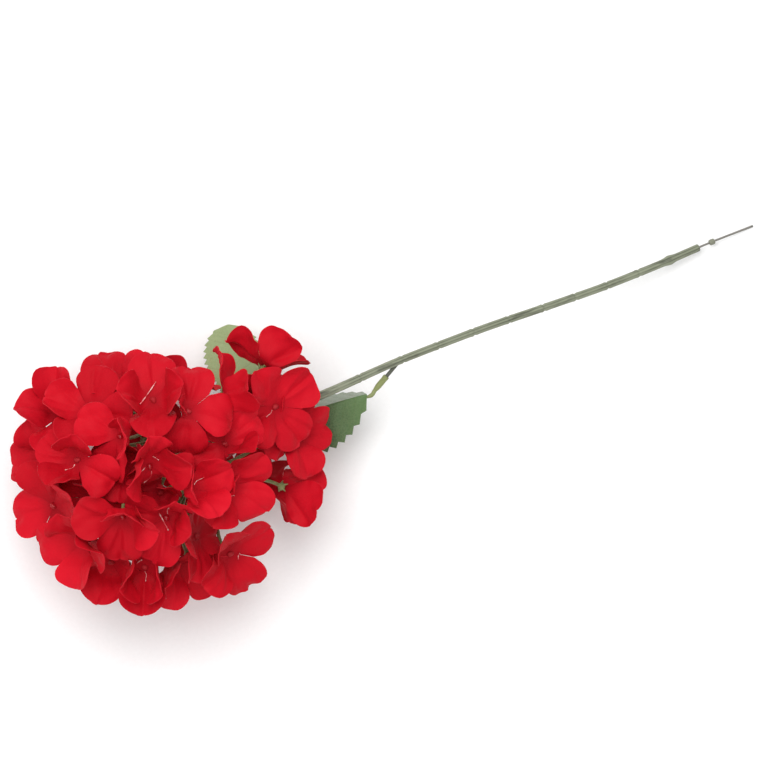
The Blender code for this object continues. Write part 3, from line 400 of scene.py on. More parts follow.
# %% Floret table
FLORETS = (              # name, sprig, hole, (towards, lean), first petal, bends, folds
    ("trailing_back", "right_back", (-65, 39, 79), (33, 116), 213, (66, 66, 40, 20), (1, 5, 2, 3)),
    ("back", "left_back", (-134, 44, 109), (71, 20), 71, (18, 68, 46, 72), (-2, 5, 4, 4)),
    ("front_right", "right_front", (-125, -58, 84), (296, 42), -79, (28, 14, 56, 44), (3, 2, 4, 6)),
    ("front_upper", "right_front", (-140, -41, 96), (339, 62), -111, (8, 30, 12, 35), (5, 2, 2, 2)),
    ("trailing_front", "right_front", (-81, -33, 64), (309, 142), 222, (84, 34, 70, 14), (2, 3, 3, 2)),
    ("trailing_top", "trailing", (-68, 14, 84), (345, 26), 20, (16, 42, 22, 2), (3, 4, 2, -3)),
    ("top", "crown", (-150, 8, 128), (290, 30), -97, (-46, 66, 52, 66), (-3, 4, 3, 5)),
    ("top_right", "crown", (-132, -12, 121), (350, 36), 184, (60, 66, 62, -2), (3, 3, 4, -2)),
    ("right_back", "right_back", (-117, 30, 116), (50, 26), 64, (20, 74, -32, 4), (2, 6, -3, 3)),
    ("right_front", "right_front", (-110, -20, 107), (327, 36), 31, (46, 72, 70, 34), (4, 3, 2, 2)),
    ("top_back", "left_back", (-160, 31, 114), (140, 26), -136, (-14, 66, 76, 40), (-2, 3, 4, 3)),
    ("back_left", "left_back", (-172, 52, 94), (111, 34), 54, (12, 34, 56, 10), (-3, 11, 4, 2)),
    ("left_upper", "tip", (-189, 27, 106), (143, 30), 127, (18, 66, -6, 76), (-2, 4, 3, 5)),
    ("top_left", "tip", (-176, -14, 114), (250, 28), -116, (10, 70, 78, 14), (2, 4, 4, 3)),
    ("top_front", "left_front", (-152, -24, 112), (265, 22), -126, (0, 66, 70, 40), (2, 4, 4, 3)),
    ("left", "tip", (-213, 7, 78), (180, 42), 176, (16, 8, 36, 22), (2, 3, 3, 2)),
    ("left_low", "tip", (-206, -19, 91), (200, 42), 164, (26, 56, 40, 58), (2, 4, 3, 3)),
    ("back_corner", "left_back", (-189, 57, 82), (122, 44), 72, (40, 66, 40, 0), (12, 4, 3, 1)),
    ("left_corner", "tip", (-205, 34, 68), (155, 48), 167, (30, 56, 40, 60), (6, 4, 3, 4)),
    ("back_low", "left_back", (-154, 58, 74), (86, 46), 92, (30, 52, 26, 50), (-2, 4, 3, 4)),
    ("front", "left_front", (-175, -47, 92), (245, 38), -115, (56, 70, 40, 62), (3, 4, 3, 5)),
    ("front_left", "left_front", (-193, -37, 76), (225, 46), -131, (84, 50, 40, 46), (3, 4, 3, 4)),
    ("front_low", "left_front", (-157, -53, 80), (265, 46), -138, (50, 54, 40, 58), (4, 2, 3, 5)),
    ("right", "right_back", (-104, 4, 103), (10, 34), 19, (20, 62, 20, 52), (2, 4, 3, 4)),
    ("right_low", "right_front", (-64, -5, 66), (340, 40), -11, (20, 36, 20, 36), (2, 3, 2, 3)),
    ("back_right", "right_back", (-93, 31, 97), (345, 70), 71, (10, 40, 30, 20), (2, 4, 3, 3)),
    ("deep_front", "crown", (-150, -9, 97), (260, 18), -70, (34, 40, 30, 44), (3, 3, 3, 3)),
    ("deep_back", "crown", (-163, 16, 95), (140, 16), 62, (30, 40, 34, 44), (3, 3, 3, 3)),
    ("deep_left", "tip", (-189, 4, 85), (180, 16), 30, (30, 36, 34, 40), (3, 3, 3, 3)),
)
UNDER_RINGS = (          # name, florets, radius, height, lean, angle of the first
    ("low", 5, 52.0, 46.0, 108.0, 57.0),
    ("bottom", 4, 25.0, 18.0, 146.0, -6.0),
)
HEAD_CENTRE = (-152.0, 0.0)
UNDER_BEND = (20.0, 55.0)
UNDER_FOLD = (-2.0, 6.0)
UNDER_HEIGHT_PLAY = 3.0
UNDER_TURN_PLAY = 35.0
FLARE = (8.0, 52.0)
TWIST = (4.0, 20.0)
FLORET_SCALE = (0.95, 1.03)
PETALS = 4


# %% Where each floret sits and how it leans
def lean_frame(towards, lean, first_petal):
    """Normal and first petal's direction: a level pair turned by the lean about its side axis."""
    level = heading(towards)
    cosine, sine, _ = heading(lean)
    side = np.cross(UP, level)
    flat = heading(first_petal)
    first = side * flat.dot(side) + (level * cosine - UP * sine) * flat.dot(level)
    return {"normal": level * sine + UP * cosine, "first": first}


def plan_florets():
    """All florets with their frames and wished petal forms, drawn in the solids' own order."""
    draw = random.Random(SEED)
    plans = []
    for name, sprig, place, (towards, lean), first_petal, bends, folds in FLORETS:
        plans.append({"name": name, "sprig": sprig, "centre": np.array(place, float),
                      "bends": bends, "folds": folds, **lean_frame(towards, lean, first_petal)})
    for name, count, radius, height, lean, offset in UNDER_RINGS:
        for j in range(count):
            around = offset + j * 360.0 / count
            level = (*HEAD_CENTRE, height + draw.uniform(-UNDER_HEIGHT_PLAY, UNDER_HEIGHT_PLAY))
            turn = draw.uniform(-UNDER_TURN_PLAY, UNDER_TURN_PLAY)
            bends = [draw.uniform(*UNDER_BEND) for _ in range(PETALS)]
            folds = [draw.uniform(*UNDER_FOLD) for _ in range(PETALS)]
            out = heading(around)
            sprig = "under_back" if out[1] > 0 else "under_front"
            plans.append({"name": f"{name}_{j + 1}", "sprig": sprig, "centre": level + radius * out,
                          "bends": bends, "folds": folds, **lean_frame(around, lean, around + 180.0 + turn)})
    for plan in plans:
        scale = draw.uniform(*FLORET_SCALE)
        plan["forms"] = [
            {"bend": bend, "flare": draw.uniform(*FLARE), "fold": fold,
             "twist": draw.uniform(*TWIST), "scale": scale}
            for bend, fold in zip(plan["bends"], plan["folds"])
        ]
    return plans


PLANS = plan_florets()
print("florets:", len(PLANS))

# %% [markdown]
# ## The shape of a petal
# A petal is a flat cut-out first: its half width grows as a sine from the notch to the
# widest place and closes as an ellipse at the tip. Then it is formed, as the warm press
# does: its midline bends up and flares back, its edges rise with the fold, and it turns
# about the midline. It could be sculpted, but a formula gives every petal its own form
# from a few numbers.

# %% Petal outline and form
PETAL_LENGTH = 30.0
PETAL_HALF_WIDTH = 14.2
PETAL_WIDEST = 19.5
NOTCH_RADIUS = 6.6
NOTCH_HALF_WIDTH = 5.2
HOLE_RADIUS = 1.35
CLOTH = 0.6
PETAL_ROWS = (NOTCH_RADIUS, 14.5)    # the solid petal's rows, the shares of the width
PETAL_FRACTIONS = (-1.0, -0.52, 0.0, 0.52, 1.0)    # in each, and its points round the tip
PETAL_RIM = ((-1.0, 21.0), (-0.62, 27.8), (0.0, PETAL_LENGTH), (0.62, 27.8), (1.0, 21.0))
BEND_FROM, BEND_OVER = 2.0, 9.0
FLARE_FROM, FLARE_OVER = 12.0, 17.0
FOLD_FROM = 3.0
FOLD_NARROWING = 1.4     # a fold draws the edges in
WIDENING_POWER = 0.9
QUARTER_SHARE = 1.08     # the solid petal's half width, against its distance from the hole
MIDLINE_STEPS = 59
REST_HEIGHT = CLOTH / 2
PRESS_SOFTNESS = 1.6


def half_width(v):
    """5.2 + 9 sin(90 t)^0.9 up to the widest place, then 14.2 sqrt(1 - f^2) to the tip."""
    v = np.asarray(v, float)
    rise = np.clip((v - NOTCH_RADIUS) / (PETAL_WIDEST - NOTCH_RADIUS), 0.0, 1.0)
    fall = np.clip((v - PETAL_WIDEST) / (PETAL_LENGTH - PETAL_WIDEST), 0.0, 1.0)
    wider = np.sin(rise * math.pi / 2) ** WIDENING_POWER
    widening = NOTCH_HALF_WIDTH + (PETAL_HALF_WIDTH - NOTCH_HALF_WIDTH) * wider
    return np.where(v <= PETAL_WIDEST, widening, PETAL_HALF_WIDTH * np.sqrt(1 - fall**2))


def petal_point(u, v, form, ripple=0.0):
    """Formed place of flat point (u, v): the midline is the integral of (cos, sin) of its
    slope, which is bend smooth(2..11) - flare smooth(12..29). The edges rise by
    fold (u / 14.2)^2, and the cross-section turns by the twist."""
    steps = np.linspace(0.0, PETAL_LENGTH, MIDLINE_STEPS)
    slope = form["bend"] * smooth(steps, BEND_FROM, BEND_OVER)
    slope = np.radians(slope - form["flare"] * smooth(steps, FLARE_FROM, FLARE_OVER))
    between = (slope[1:] + slope[:-1]) / 2
    along = np.concatenate([[0.0], np.cumsum(np.cos(between)) * steps[1]])
    height = np.concatenate([[0.0], np.cumsum(np.sin(between)) * steps[1]])
    here = np.interp(v, steps, slope)
    part = np.clip((v - FOLD_FROM) / (PETAL_LENGTH - FOLD_FROM), 0.0, 1.0)
    rise = form["fold"] / PETAL_HALF_WIDTH
    drawn_in = 1.0 / np.sqrt(1.0 + FOLD_NARROWING * (rise * part) ** 2)
    lift = rise * u * u / PETAL_HALF_WIDTH * part + ripple
    turn = np.radians(form["twist"]) * part
    across = u * drawn_in * np.cos(turn) - lift * np.sin(turn)
    up = u * drawn_in * np.sin(turn) + lift * np.cos(turn)
    x = np.interp(v, steps, along) - np.sin(here) * up
    z = np.interp(v, steps, height) + np.cos(here) * up
    return np.stack([x, across, z], axis=-1) * form["scale"]


def press(points):
    """Soft floor: z becomes 0.3 + 1.6 log(1 + exp((z - 0.3) / 1.6))."""
    pressed = np.array(points, float)
    above = (pressed[..., 2] - REST_HEIGHT) / PRESS_SOFTNESS
    pressed[..., 2] = REST_HEIGHT + PRESS_SOFTNESS * np.logaddexp(0.0, above)
    return pressed


print("tip of a petal bent up by 60 degrees:",
      petal_point(0.0, PETAL_LENGTH, {"bend": 60, "flare": 20, "fold": 2, "twist": 5, "scale": 1}).round(1))

# %% [markdown]
# ## Finding each petal's settled form
# Where a wished petal would have touched its neighbours, the solids' own script tried
# other bends, turns and sizes in a fixed order. Rather than repeat that search, the same
# order is walked here until the petal's fifteen guide points fit the solid's corners,
# which lie half a cloth's thickness away.

# %% Fit the forms to the solids
BEND_SHIFTS = (0, 6, -6, 12, -12, 18, -18, 25, -25, 33, -33, 42, -42, 52, -52, 64)
TWIST_SHIFTS = (0.0, -14.0, 12.0, -28.0, 26.0)
SHRINKS = (1.0, 0.88, 0.76, 0.64, 0.54)
BEND_RANGE = (-48.0, 96.0)
GOOD_FIT = 0.33          # mean distance in millimetres


def petal_axes(plan, k):
    """Directions along and across petal k, a quarter turn further for each petal."""
    angle = math.radians(90.0 * k)
    across = np.cross(plan["normal"], plan["first"])
    direction = plan["first"] * math.cos(angle) + across * math.sin(angle)
    return direction, np.cross(plan["normal"], direction)


def to_part(local, plan, k):
    """Floret frame to part frame: centre + x direction + y side + z normal."""
    direction, side = petal_axes(plan, k)
    level = plan["centre"] + local[..., :1] * direction + local[..., 1:2] * side
    return level + local[..., 2:] * plan["normal"]


def guide_points(plan, k, form):
    """The fifteen points of the solid petal's middle surface, before it gets thickness."""
    rows = []
    for v in PETAL_ROWS:
        row = petal_point(np.array(PETAL_FRACTIONS) * float(half_width(v)), np.full(5, v), form)
        if v > NOTCH_RADIUS:
            reach = QUARTER_SHARE * row[2, 0]
            row[:, 1] = np.clip(row[:, 1], -reach, reach)
        rows.append(row)
    shares, places = np.array(PETAL_RIM).T
    widths = np.where(np.abs(shares) == 1.0, half_width(places), PETAL_HALF_WIDTH)
    rows.append(petal_point(shares * widths, places, form))
    return press(to_part(np.array(rows), plan, k)).reshape(-1, 3)


def form_choices(form):
    """The wished form first, then forms that depart from it more and more."""
    for shrink in SHRINKS:
        for shift in BEND_SHIFTS:
            for turn in TWIST_SHIFTS:
                if BEND_RANGE[0] <= form["bend"] + shift <= BEND_RANGE[1]:
                    yield {**form, "bend": form["bend"] + shift, "twist": form["twist"] + turn,
                           "scale": form["scale"] * shrink}


def settled_form(plan, k, corners):
    """The first form whose guide points lie on the solid, by mean nearest distance."""
    best = None
    for form in form_choices(plan["forms"][k]):
        points = guide_points(plan, k, form)
        gap = np.linalg.norm(points[:, None] - corners[None], axis=-1).min(axis=1).mean()
        if best is None or gap < best[0]:
            best = (gap, form)
        if gap < GOOD_FIT:
            break
    return best


worst_fit = 0.0
for plan in PLANS:
    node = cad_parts["floret_" + plan["name"]]
    flat_list = np.zeros(len(node.data.vertices) * 3, np.float32)
    node.data.vertices.foreach_get("co", flat_list)
    corners = np.unique(np.round(flat_list.reshape(-1, 3) / METRE, 3), axis=0) - ORIGIN_SHIFT
    fits = [settled_form(plan, k, corners) for k in range(PETALS)]
    plan["forms"] = [form for _, form in fits]
    worst_fit = max(worst_fit, max(gap for gap, _ in fits))
print("worst fit of a petal to its solid:", round(float(worst_fit), 3), "mm")

# %% [markdown]
# ## Fine petals
# Each petal is now a grid of small faces over the same form. What the press and handling
# leave on real cloth is added by formula: a rim that waves and curls, one to three creases
# that fan out from the root, a keel along the midline and an outline that isn't quite an
# ellipse. None of these is over two and a half millimetres, so the petal keeps its
# solid's form, and the rim of a petal that stands up waves and curls less. The throat
# round the hole is a ring of faces that joins the four petals, and the sheet then gets
# its thickness.

# %% Petal grids
COLUMNS = 25
ROWS_TO_WIDEST = 10
ROWS_ROUND_TIP = 9
THROAT_RINGS = 4
THROAT_ANGLE = 42.0      # a petal's root spans this much of the hole on each side
TIP_ANGLE = 84.0         # the last row, on the quarter turn round the tip
SLIT_END = 5.3           # the slit between two petals ends this far from the hole
SLIT_GAP = 0.15
SLIT_WIDTH = 12.2
WAIST = 14.5             # here a petal bent up is kept clear of its neighbours:
OVERLAP_SHARE = 1.25     # its half width is at most this share of its distance,
LEAST_REACH = 0.4        # but at least this share of its own
SHEET = 0.36             # thickness
OUTLINE_SWAY = 0.045     # as a share of the width
TIP_SWAY = 0.55
RIM_WAVE = (0.7, 1.8)
RIM_CURL = (-2.4, 1.8)
TILT = 1.8
CALMED_BEND, CALMED_OVER, CALMED_SHARE = 35.0, 30.0, 0.6
CREASE_FAN = 34.0        # the creases' rays lie within this angle of the midline
CREASE_DEPTH = (1.0, 2.5)
CREASE_WIDTH = 1.9
KEEL_DEPTH = (0.4, 2.0)
KEEL_WIDTH = 3.0
EXTRA_FOLD = 3.0
PUCKER = 0.5
FULL_TURN = 6.3          # about 2 pi, for the phases of the waves


# %% Petal grid
def petal_rows():
    """Distances of the rows from the hole: even to the widest place, then as a sine round the tip."""
    tip = np.radians(np.linspace(0.0, TIP_ANGLE, ROWS_ROUND_TIP + 1))[1:]
    round_tip = PETAL_WIDEST + (PETAL_LENGTH - PETAL_WIDEST) * np.sin(tip)
    return np.concatenate([np.linspace(SLIT_END, PETAL_WIDEST, ROWS_TO_WIDEST), round_tip])


def cloth_half_width(v):
    """Up to the widest place, the larger of half_width and v - 0.15, the latter at most 12.2:
    neighbours meet along their slit. Beyond the widest place it is half_width."""
    beside_slit = np.maximum(half_width(v), np.minimum(v - SLIT_GAP, SLIT_WIDTH))
    return np.where(v < PETAL_WIDEST, beside_slit, half_width(v))


def petal_grid(form, draw):
    """Formed grid (rows, columns, 3), its flat coordinates and each point's share rho of the
    way to the rim. The ripple is calm (wave rho^3 sin(n angle + phase) + curl rho^4 + tilt
    share), where calm is less than one for a petal that stands up, with creases of
    depth exp(-|distance to a ray| / 1.9) along rays from the root, a keel of
    depth exp(-|u| / 3) on the midline, and a pucker 0.5 sin(0.6 u + b) sin(0.5 v + 2 b) rho."""
    v = petal_rows()[:, None] * np.ones(COLUMNS)
    share = np.linspace(-1.0, 1.0, COLUMNS)[None, :]
    uneven = OUTLINE_SWAY * np.sin(2.3 * share + draw.uniform(0.0, FULL_TURN)) * smooth(v, 14.0, 10.0)
    u = share * cloth_half_width(petal_rows())[:, None] * (1.0 + uneven)
    v = v + TIP_SWAY * np.sin(3.1 * share + draw.uniform(0.0, FULL_TURN)) * smooth(v, 17.0, 12.0)
    around = np.arctan2(u, v - 16.0)
    rho = np.maximum(np.abs(share), smooth(v, 12.0, 18.0)) * smooth(v, 8.0, 8.0)
    calm = 1.0 - CALMED_SHARE * smooth(form["bend"], CALMED_BEND, CALMED_OVER)
    wave = draw.uniform(*RIM_WAVE) * rho**3
    wave = wave * np.sin(draw.choice((2, 3, 4)) * around + draw.uniform(0.0, FULL_TURN))
    ripple = calm * (wave + draw.uniform(*RIM_CURL) * rho**4)
    for _ in range(draw.choice((1, 2, 2, 3))):
        ray = math.radians(draw.uniform(-CREASE_FAN, CREASE_FAN))
        off = u * math.cos(ray) - (v - 3.0) * math.sin(ray)
        depth = draw.choice((-1.0, 1.0)) * draw.uniform(*CREASE_DEPTH)
        crease = depth * np.exp(-np.abs(off) / CREASE_WIDTH)
        ripple += crease * smooth(v, 5.0, 7.0) * (1.0 - smooth(v, 21.0, 9.0))
    ripple -= draw.uniform(*KEEL_DEPTH) * np.exp(-np.abs(u) / KEEL_WIDTH) * smooth(v, 5.0, 8.0)
    form = {**form, "fold": form["fold"] + draw.uniform(0.0, EXTRA_FOLD)}
    ripple += PUCKER * np.sin(0.6 * u + form["bend"]) * np.sin(0.5 * v + 2.0 * form["bend"]) * rho
    ripple += calm * draw.uniform(-TILT, TILT) * smooth(v, 9.0, 18.0) * share
    grid = petal_point(u, np.minimum(v, PETAL_LENGTH), form, ripple)
    waist = petal_point(0.0, WAIST, form)[0] / form["scale"]
    reach = np.clip(OVERLAP_SHARE * waist / half_width(WAIST), LEAST_REACH, 1.0)
    grid[..., 1] *= 1.0 - (1.0 - reach) * smooth(v, 8.0, WAIST - 8.0) * (1.0 - smooth(v, WAIST, 8.0))
    return grid, np.stack([u, v], axis=-1), rho


print("petal grid:", len(petal_rows()), "rows of", COLUMNS, "points")

# %% Sheets with thickness
def thicken(middle, normals, faces, edges, *maps):
    """A sheet's two faces, half its thickness from the middle, and a wall along each edge,
    which is a closed run of point numbers. Both faces get the maps. Second comes a mark on
    each point that lies on an edge, where the shading breaks."""
    count = len(middle)
    both = np.vstack([middle + normals * SHEET / 2, middle - normals * SHEET / 2])
    quads = [faces, faces[:, ::-1] + count]
    sharp = np.zeros(2 * count, bool)
    for edge in edges:
        after = np.roll(edge, -1)
        quads.append(np.stack([edge + count, after + count, after, edge], axis=-1))
        sharp[np.concatenate([edge, edge + count])] = True
    return (both, np.vstack(quads), *[np.vstack([values, values]) for values in maps]), sharp


def point_normals(points, faces):
    """Sum, at each point, of the cross products of the diagonals of the faces round it."""
    a, b, c, d = points[faces.T]
    diagonals = np.cross(c - a, d - b)
    normals = np.zeros_like(points)
    for corner in faces.T:
        np.add.at(normals, corner, diagonals)
    return unit(normals)


def floret_shape(plan):
    """Whole floret as one sheet: throat rings and four petal grids. A point's seven numbers
    are its place, its flat coordinates, and for the rim map its share of the way to the
    rim and its petal's tone. The throat runs evenly from the hole to the petals' roots."""
    draw = random.Random(plan["name"])
    turn = np.radians(np.linspace(-THROAT_ANGLE, THROAT_ANGLE, COLUMNS))
    ring = HOLE_RADIUS * np.stack([np.cos(turn), np.sin(turn), 0.0 * turn], axis=-1)
    holes, petals = [], []
    for k, form in enumerate(plan["forms"]):
        grid, flat, rho = petal_grid(form, draw)
        tone = np.full(rho.shape, draw.random())
        petals.append(np.dstack([to_part(grid, plan, k), flat, rho, tone]))
        holes.append(np.column_stack([to_part(ring, plan, k), ring[:, 1::-1], 0.0 * turn, tone[0]]))
    petals = np.array(petals)
    hole = np.vstack(holes)
    steps = (np.arange(THROAT_RINGS) / THROAT_RINGS)[:, None, None]
    throat = hole + (np.vstack(petals[:, 0]) - hole) * steps
    values = np.vstack([throat.reshape(-1, 7), petals.reshape(-1, 7)])
    points = press(values[:, :3])

    rings = np.arange(THROAT_RINGS * len(hole)).reshape(THROAT_RINGS, -1)
    numbers = rings.size + np.arange(petals.size // 7).reshape(petals.shape[:3])
    rings = np.vstack([rings, numbers[:, 0].reshape(1, -1)])
    faces = np.vstack([grid_faces(np.hstack([rings, rings[:, :1]])), grid_faces(numbers)])
    rim = [np.concatenate([petal[:, 0], petal[-1, 1:], petal[-2::-1, -1]]) for petal in numbers]
    edges = np.concatenate(rim), rings[0, ::-1]
    return thicken(points, point_normals(points, faces), faces, edges, values[:, 3:5], values[:, 5:])


# %% Make the florets
faces_made = 0
for plan in PLANS:
    shape, sharp = floret_shape(plan)
    make_piece("petals_" + plan["name"], shape, RED_CLOTH, ["floret_" + plan["name"]], sharp)
    faces_made += 2 * len(shape[1])
print("floret triangles:", faces_made)

# %% [markdown]
# ## Hot glue
# Each floret is fixed on its peg by a drop of hot-melt glue, and the glue gun leaves fine
# strings on some petals. The glue is a clear copolymer over the red cloth, and the drops are painted
# a deep red that is partly the cloth's and partly painted shade of the throat. Most drops have set dull, and
# a few still catch the light. A drop is a low dome with an uneven foot. A string is a thin tube that follows
# a petal just above its cloth, with pale patches painted on as glints.

# %% Glue drops and strings
DROP = ((0.2, 1.9), (0.5, 1.95), (1.0, 1.75), (1.4, 1.4), (1.75, 0.9), (1.95, 0.4))
DROP_SIDES = 14
STRING_SIDES = 8
STRING_RADIUS = 0.3
BRIDGE_RADIUS = 0.45
BRIDGE_SAG = 0.8
STRING_LIFT = 0.45
STRINGS = (              # floret, petal, and flat points where it starts and ends
    ("top", 0, (0.5, 3.0), (-3.5, 15.0)),
    ("top", 3, (-0.5, 3.0), (2.0, 9.0)),
    ("top_right", 2, (0.0, 3.0), (2.5, 11.0)),
    ("right_front", 1, (0.0, 3.0), (-2.0, 8.0)),
    ("top_front", 2, (0.0, 3.0), (2.0, 12.0)),
    ("front", 0, (0.0, 3.0), (1.5, 9.0)),
    ("left_upper", 1, (0.0, 3.0), (-1.5, 10.0)),
    ("trailing_top", 2, (0.0, 3.0), (1.0, 9.0)),
)
BRIDGES = (              # floret, petal and point, and the next petal and point
    ("back", 0, (-2.0, 10.5), 1, (3.5, 8.5)),
    ("top", 1, (3.0, 6.0), 2, (-3.0, 6.5)),
    ("top_front", 0, (3.0, 7.0), 3, (-2.5, 6.0)),
    ("front", 2, (2.0, 6.0), 3, (-3.0, 5.0)),
    ("right_front", 2, (3.0, 6.0), 3, (-3.0, 6.0)),
    ("front_right", 0, (2.5, 6.5), 1, (-3.5, 5.5)),
)


# %% Glue looks
def hot_melt():
    """Clear ethylene-vinyl acetate over red cloth: deep red, darker than the cloth as painted shade of the
    throat, glossy only where noise is high.
    """
    look, tree, shader = new_look("clear_hot_melt_glue", Specular_IOR_Level=0.4, IOR=1.48)
    place = add(tree, "TexCoord").outputs["Object"]
    cloud = add(tree, "TexNoise", place, per_metre(2.0), 2.0)
    region = add(tree, "TexNoise", place, per_metre(33.3), 1.0)
    rough = add(tree, "MapRange", region, 0.6, 0.433, 0.14, 0.74)
    # painted shade: the drops are darker than the cloth, as the shaded throat seen through clear glue
    surface(tree, shader, "8c0814", [(cloud, "b01320")], rough)
    return look


def string_with_painted_glints():
    """Clear ethylene-vinyl acetate drawn to a string: red, with pale patches that are painted glints."""
    look, tree, shader = new_look("hot_melt_string_with_painted_glints", Specular_IOR_Level=0.7, IOR=1.48, Coat_Weight=0.6,
                                  Coat_Roughness=0.08)
    place = add(tree, "TexCoord").outputs["Object"]
    cloud = add(tree, "TexNoise", place, per_metre(3.33), 2.0)
    rough = add(tree, "Math", cloud, 0.1, 0.12, operation="MULTIPLY_ADD")
    # painted highlight: pale patches where the noise is high stand in for glints
    surface(tree, shader, "c8323c", [(add(tree, "MapRange", cloud, 0.42, 0.62), "f3c9c4")], rough)
    return look


# %% Glue shapes
def drop_shape(plan, draw):
    """Dome along the floret's normal with radius r (1 + 0.14 sin(2 a + p) + 0.08 sin(3 a + q))."""
    points, quads = turned(plan["centre"], plan["normal"], DROP, DROP_SIDES)
    rows = points.reshape(-1, DROP_SIDES, 3)
    middle = rows.mean(axis=1, keepdims=True)
    angle = even_angles(DROP_SIDES)
    uneven = 1.0 + 0.14 * np.sin(2 * angle + draw.uniform(0, FULL_TURN))
    uneven = uneven + 0.08 * np.sin(3 * angle + draw.uniform(0, FULL_TURN))
    return (middle + (rows - middle) * uneven[None, :, None]).reshape(-1, 3), quads


def string_shape(plan, k, start, end):
    """Thin tube over petal k from flat point start to end, thicker at its two ends."""
    t = np.linspace(0.0, 1.0, 16)
    u = start[0] + (end[0] - start[0]) * t + 0.5 * np.sin(5.0 * t)
    v = start[1] + (end[1] - start[1]) * t
    path = press(to_part(petal_point(u, v, plan["forms"][k]), plan, k)) + plan["normal"] * STRING_LIFT
    radii = STRING_RADIUS * (1.0 - 0.5 * np.sin(np.pi * t) + 0.5 * bell(t, 1.0, 0.12))
    return tube(path, radii, STRING_SIDES)


def bridge_shape(plan, *ends):
    """Thin tube straight from a point on one petal to a point on the next, sagging 0.8 mm."""
    t = np.linspace(0.0, 1.0, 12)[:, None]
    start, end = [to_part(petal_point(*flat, plan["forms"][k]), plan, k) for k, flat in (ends[:2], ends[2:])]
    path = press(start + (end - start) * t) + plan["normal"] * (1.0 - BRIDGE_SAG * np.sin(np.pi * t))
    return tube(path, BRIDGE_RADIUS * (1.0 - 0.4 * np.sin(np.pi * t)), STRING_SIDES)


glue_draw = random.Random(SEED + 1)
by_name = {plan["name"]: plan for plan in PLANS}
drops = [drop_shape(plan, glue_draw) for plan in PLANS]
make_piece("hot_glue", join(drops), hot_melt(), [])
strings = [string_shape(by_name[name], k, start, end) for name, k, start, end in STRINGS]
strings += [bridge_shape(by_name[name], *ends) for name, *ends in BRIDGES]
make_piece("glue_strings", join(strings), string_with_painted_glints(), [])
print("glue drops:", len(drops), "strings:", len(strings))

# %% [markdown]
# ## Moulded plastics
# The sheath and the sprigs are soft polyethylene, injection moulded, with a dull skin,
# faint flow marks and a little grime along the stem, and painted shade along the sheath's grooves.
# Polyethylene has an
# IOR near 1.5 and scatters light just below its skin, which a matt shader stands in for.

# %% Sheath, sprig and wire looks
GROOVES = (0.3, -0.45, 2.6)      # angles round the stem, in radians, and so is the reach
GROOVE_SHADE_REACH = 0.222


def stretched_noise(tree, sizes, detail):
    """Noise whose patches are as wide along X, Y and Z as the three sizes in millimetres."""
    place = add(tree, "TexCoord").outputs["Object"]
    scale = [per_metre(size) for size in sizes]
    return add(tree, "TexNoise", add(tree, "Mapping", place, (0, 0, 0), (0, 0, 0), scale), 1.0, detail)


def moulded_plastic(name, light, dark, grime_and_groove_shade, streak_share, rough, shaded_groove_places=()):
    """Polyethylene: slow patches of two greens, a dark colour as grime in streaks along the stem and as
    painted shade in the grooves, whose places are angles round the stem from its top, and flow marks."""
    look, tree, shader = new_look(name, Specular_IOR_Level=0.4, IOR=1.5)
    place = add(tree, "TexCoord").outputs["Object"]
    patches = add(tree, "TexNoise", place, per_metre(16.7), 3.0)
    specks = add(tree, "TexNoise", place, per_metre(2.38), 2.0)
    marks = stretched_noise(tree, (25.0, 2.5, 2.5), 4.0)
    layers = [(patches, dark), (add(tree, "MapRange", marks, 0.5, 0.7, 0.0, streak_share), grime_and_groove_shade)]
    angle = add(tree, "SeparateXYZ", add(tree, "UVMap", uv_map="flat")).outputs[0]
    broken = add(tree, "MapRange", patches, 0.15, 0.65)
    # painted shade: the dark colour laid along each groove, broken up by the slow patches
    for groove in shaded_groove_places:
        off = add(tree, "Math", add(tree, "Math", angle, groove, operation="SUBTRACT"), operation="ABSOLUTE")
        groove_shade = add(tree, "MapRange", off, GROOVE_SHADE_REACH, 0.0, 0.0, 0.9)
        layers.append((add(tree, "Math", groove_shade, broken, operation="MULTIPLY"), grime_and_groove_shade))
    rough = add(tree, "Math", specks, 0.2, rough, operation="MULTIPLY_ADD")
    height = add(tree, "Math", specks, 0.4, marks, operation="MULTIPLY_ADD")
    surface(tree, shader, light, layers, rough, height, 0.35, 0.3)
    return look


def drawn_steel():
    """Drawn carbon steel wire, oiled and darkened: metal with fine marks along its length."""
    look, tree, shader = new_look("drawn_carbon_steel", Metallic=0.85)
    marks = stretched_noise(tree, (16.7, 0.4, 0.4), 3.0)
    rough = add(tree, "Math", marks, 0.3, 0.28, operation="MULTIPLY_ADD")
    surface(tree, shader, "a8a59e", [(marks, "6b6862")], rough)
    return look


# the sheath's darkest colour serves as grime in streaks and as painted shade in its grooves
SHEATH_LOOK = moulded_plastic("grey_green_polyethylene", "949983", "6c725c", "43463a", 0.75, 0.42, GROOVES)
SPRIG_LOOK = moulded_plastic("yellow_green_polyethylene", "9aa369", "50572f", "4c4828", 0.6, 0.4)
CRUMB_LOOK = moulded_plastic("weathered_polyethylene", "8f9180", "6f7160", "55533f", 0.3, 0.5)
# The stubs are the sheath's plastic painted darker, as shade.
SHADED_STUB_LOOK = moulded_plastic("grey_green_polyethylene_stub_painted_shade", "595c50", "45483d", "34362c", 0.5, 0.42)
WIRE_LOOK = drawn_steel()
# the grooves' dark lines are painted shade
print("grooves with grime:", len(GROOVES))

# %% [markdown]
# ## The wire and its sheath
# The sheath is a tube with node scars: at each one the mould left a short waist between
# two low collars. It swells near the cut end, where it was nipped, and its mouth round
# the wire was cut by hand. The radius along the stem is a sum of smooth bumps, and the
# mouth gets a soft lip.

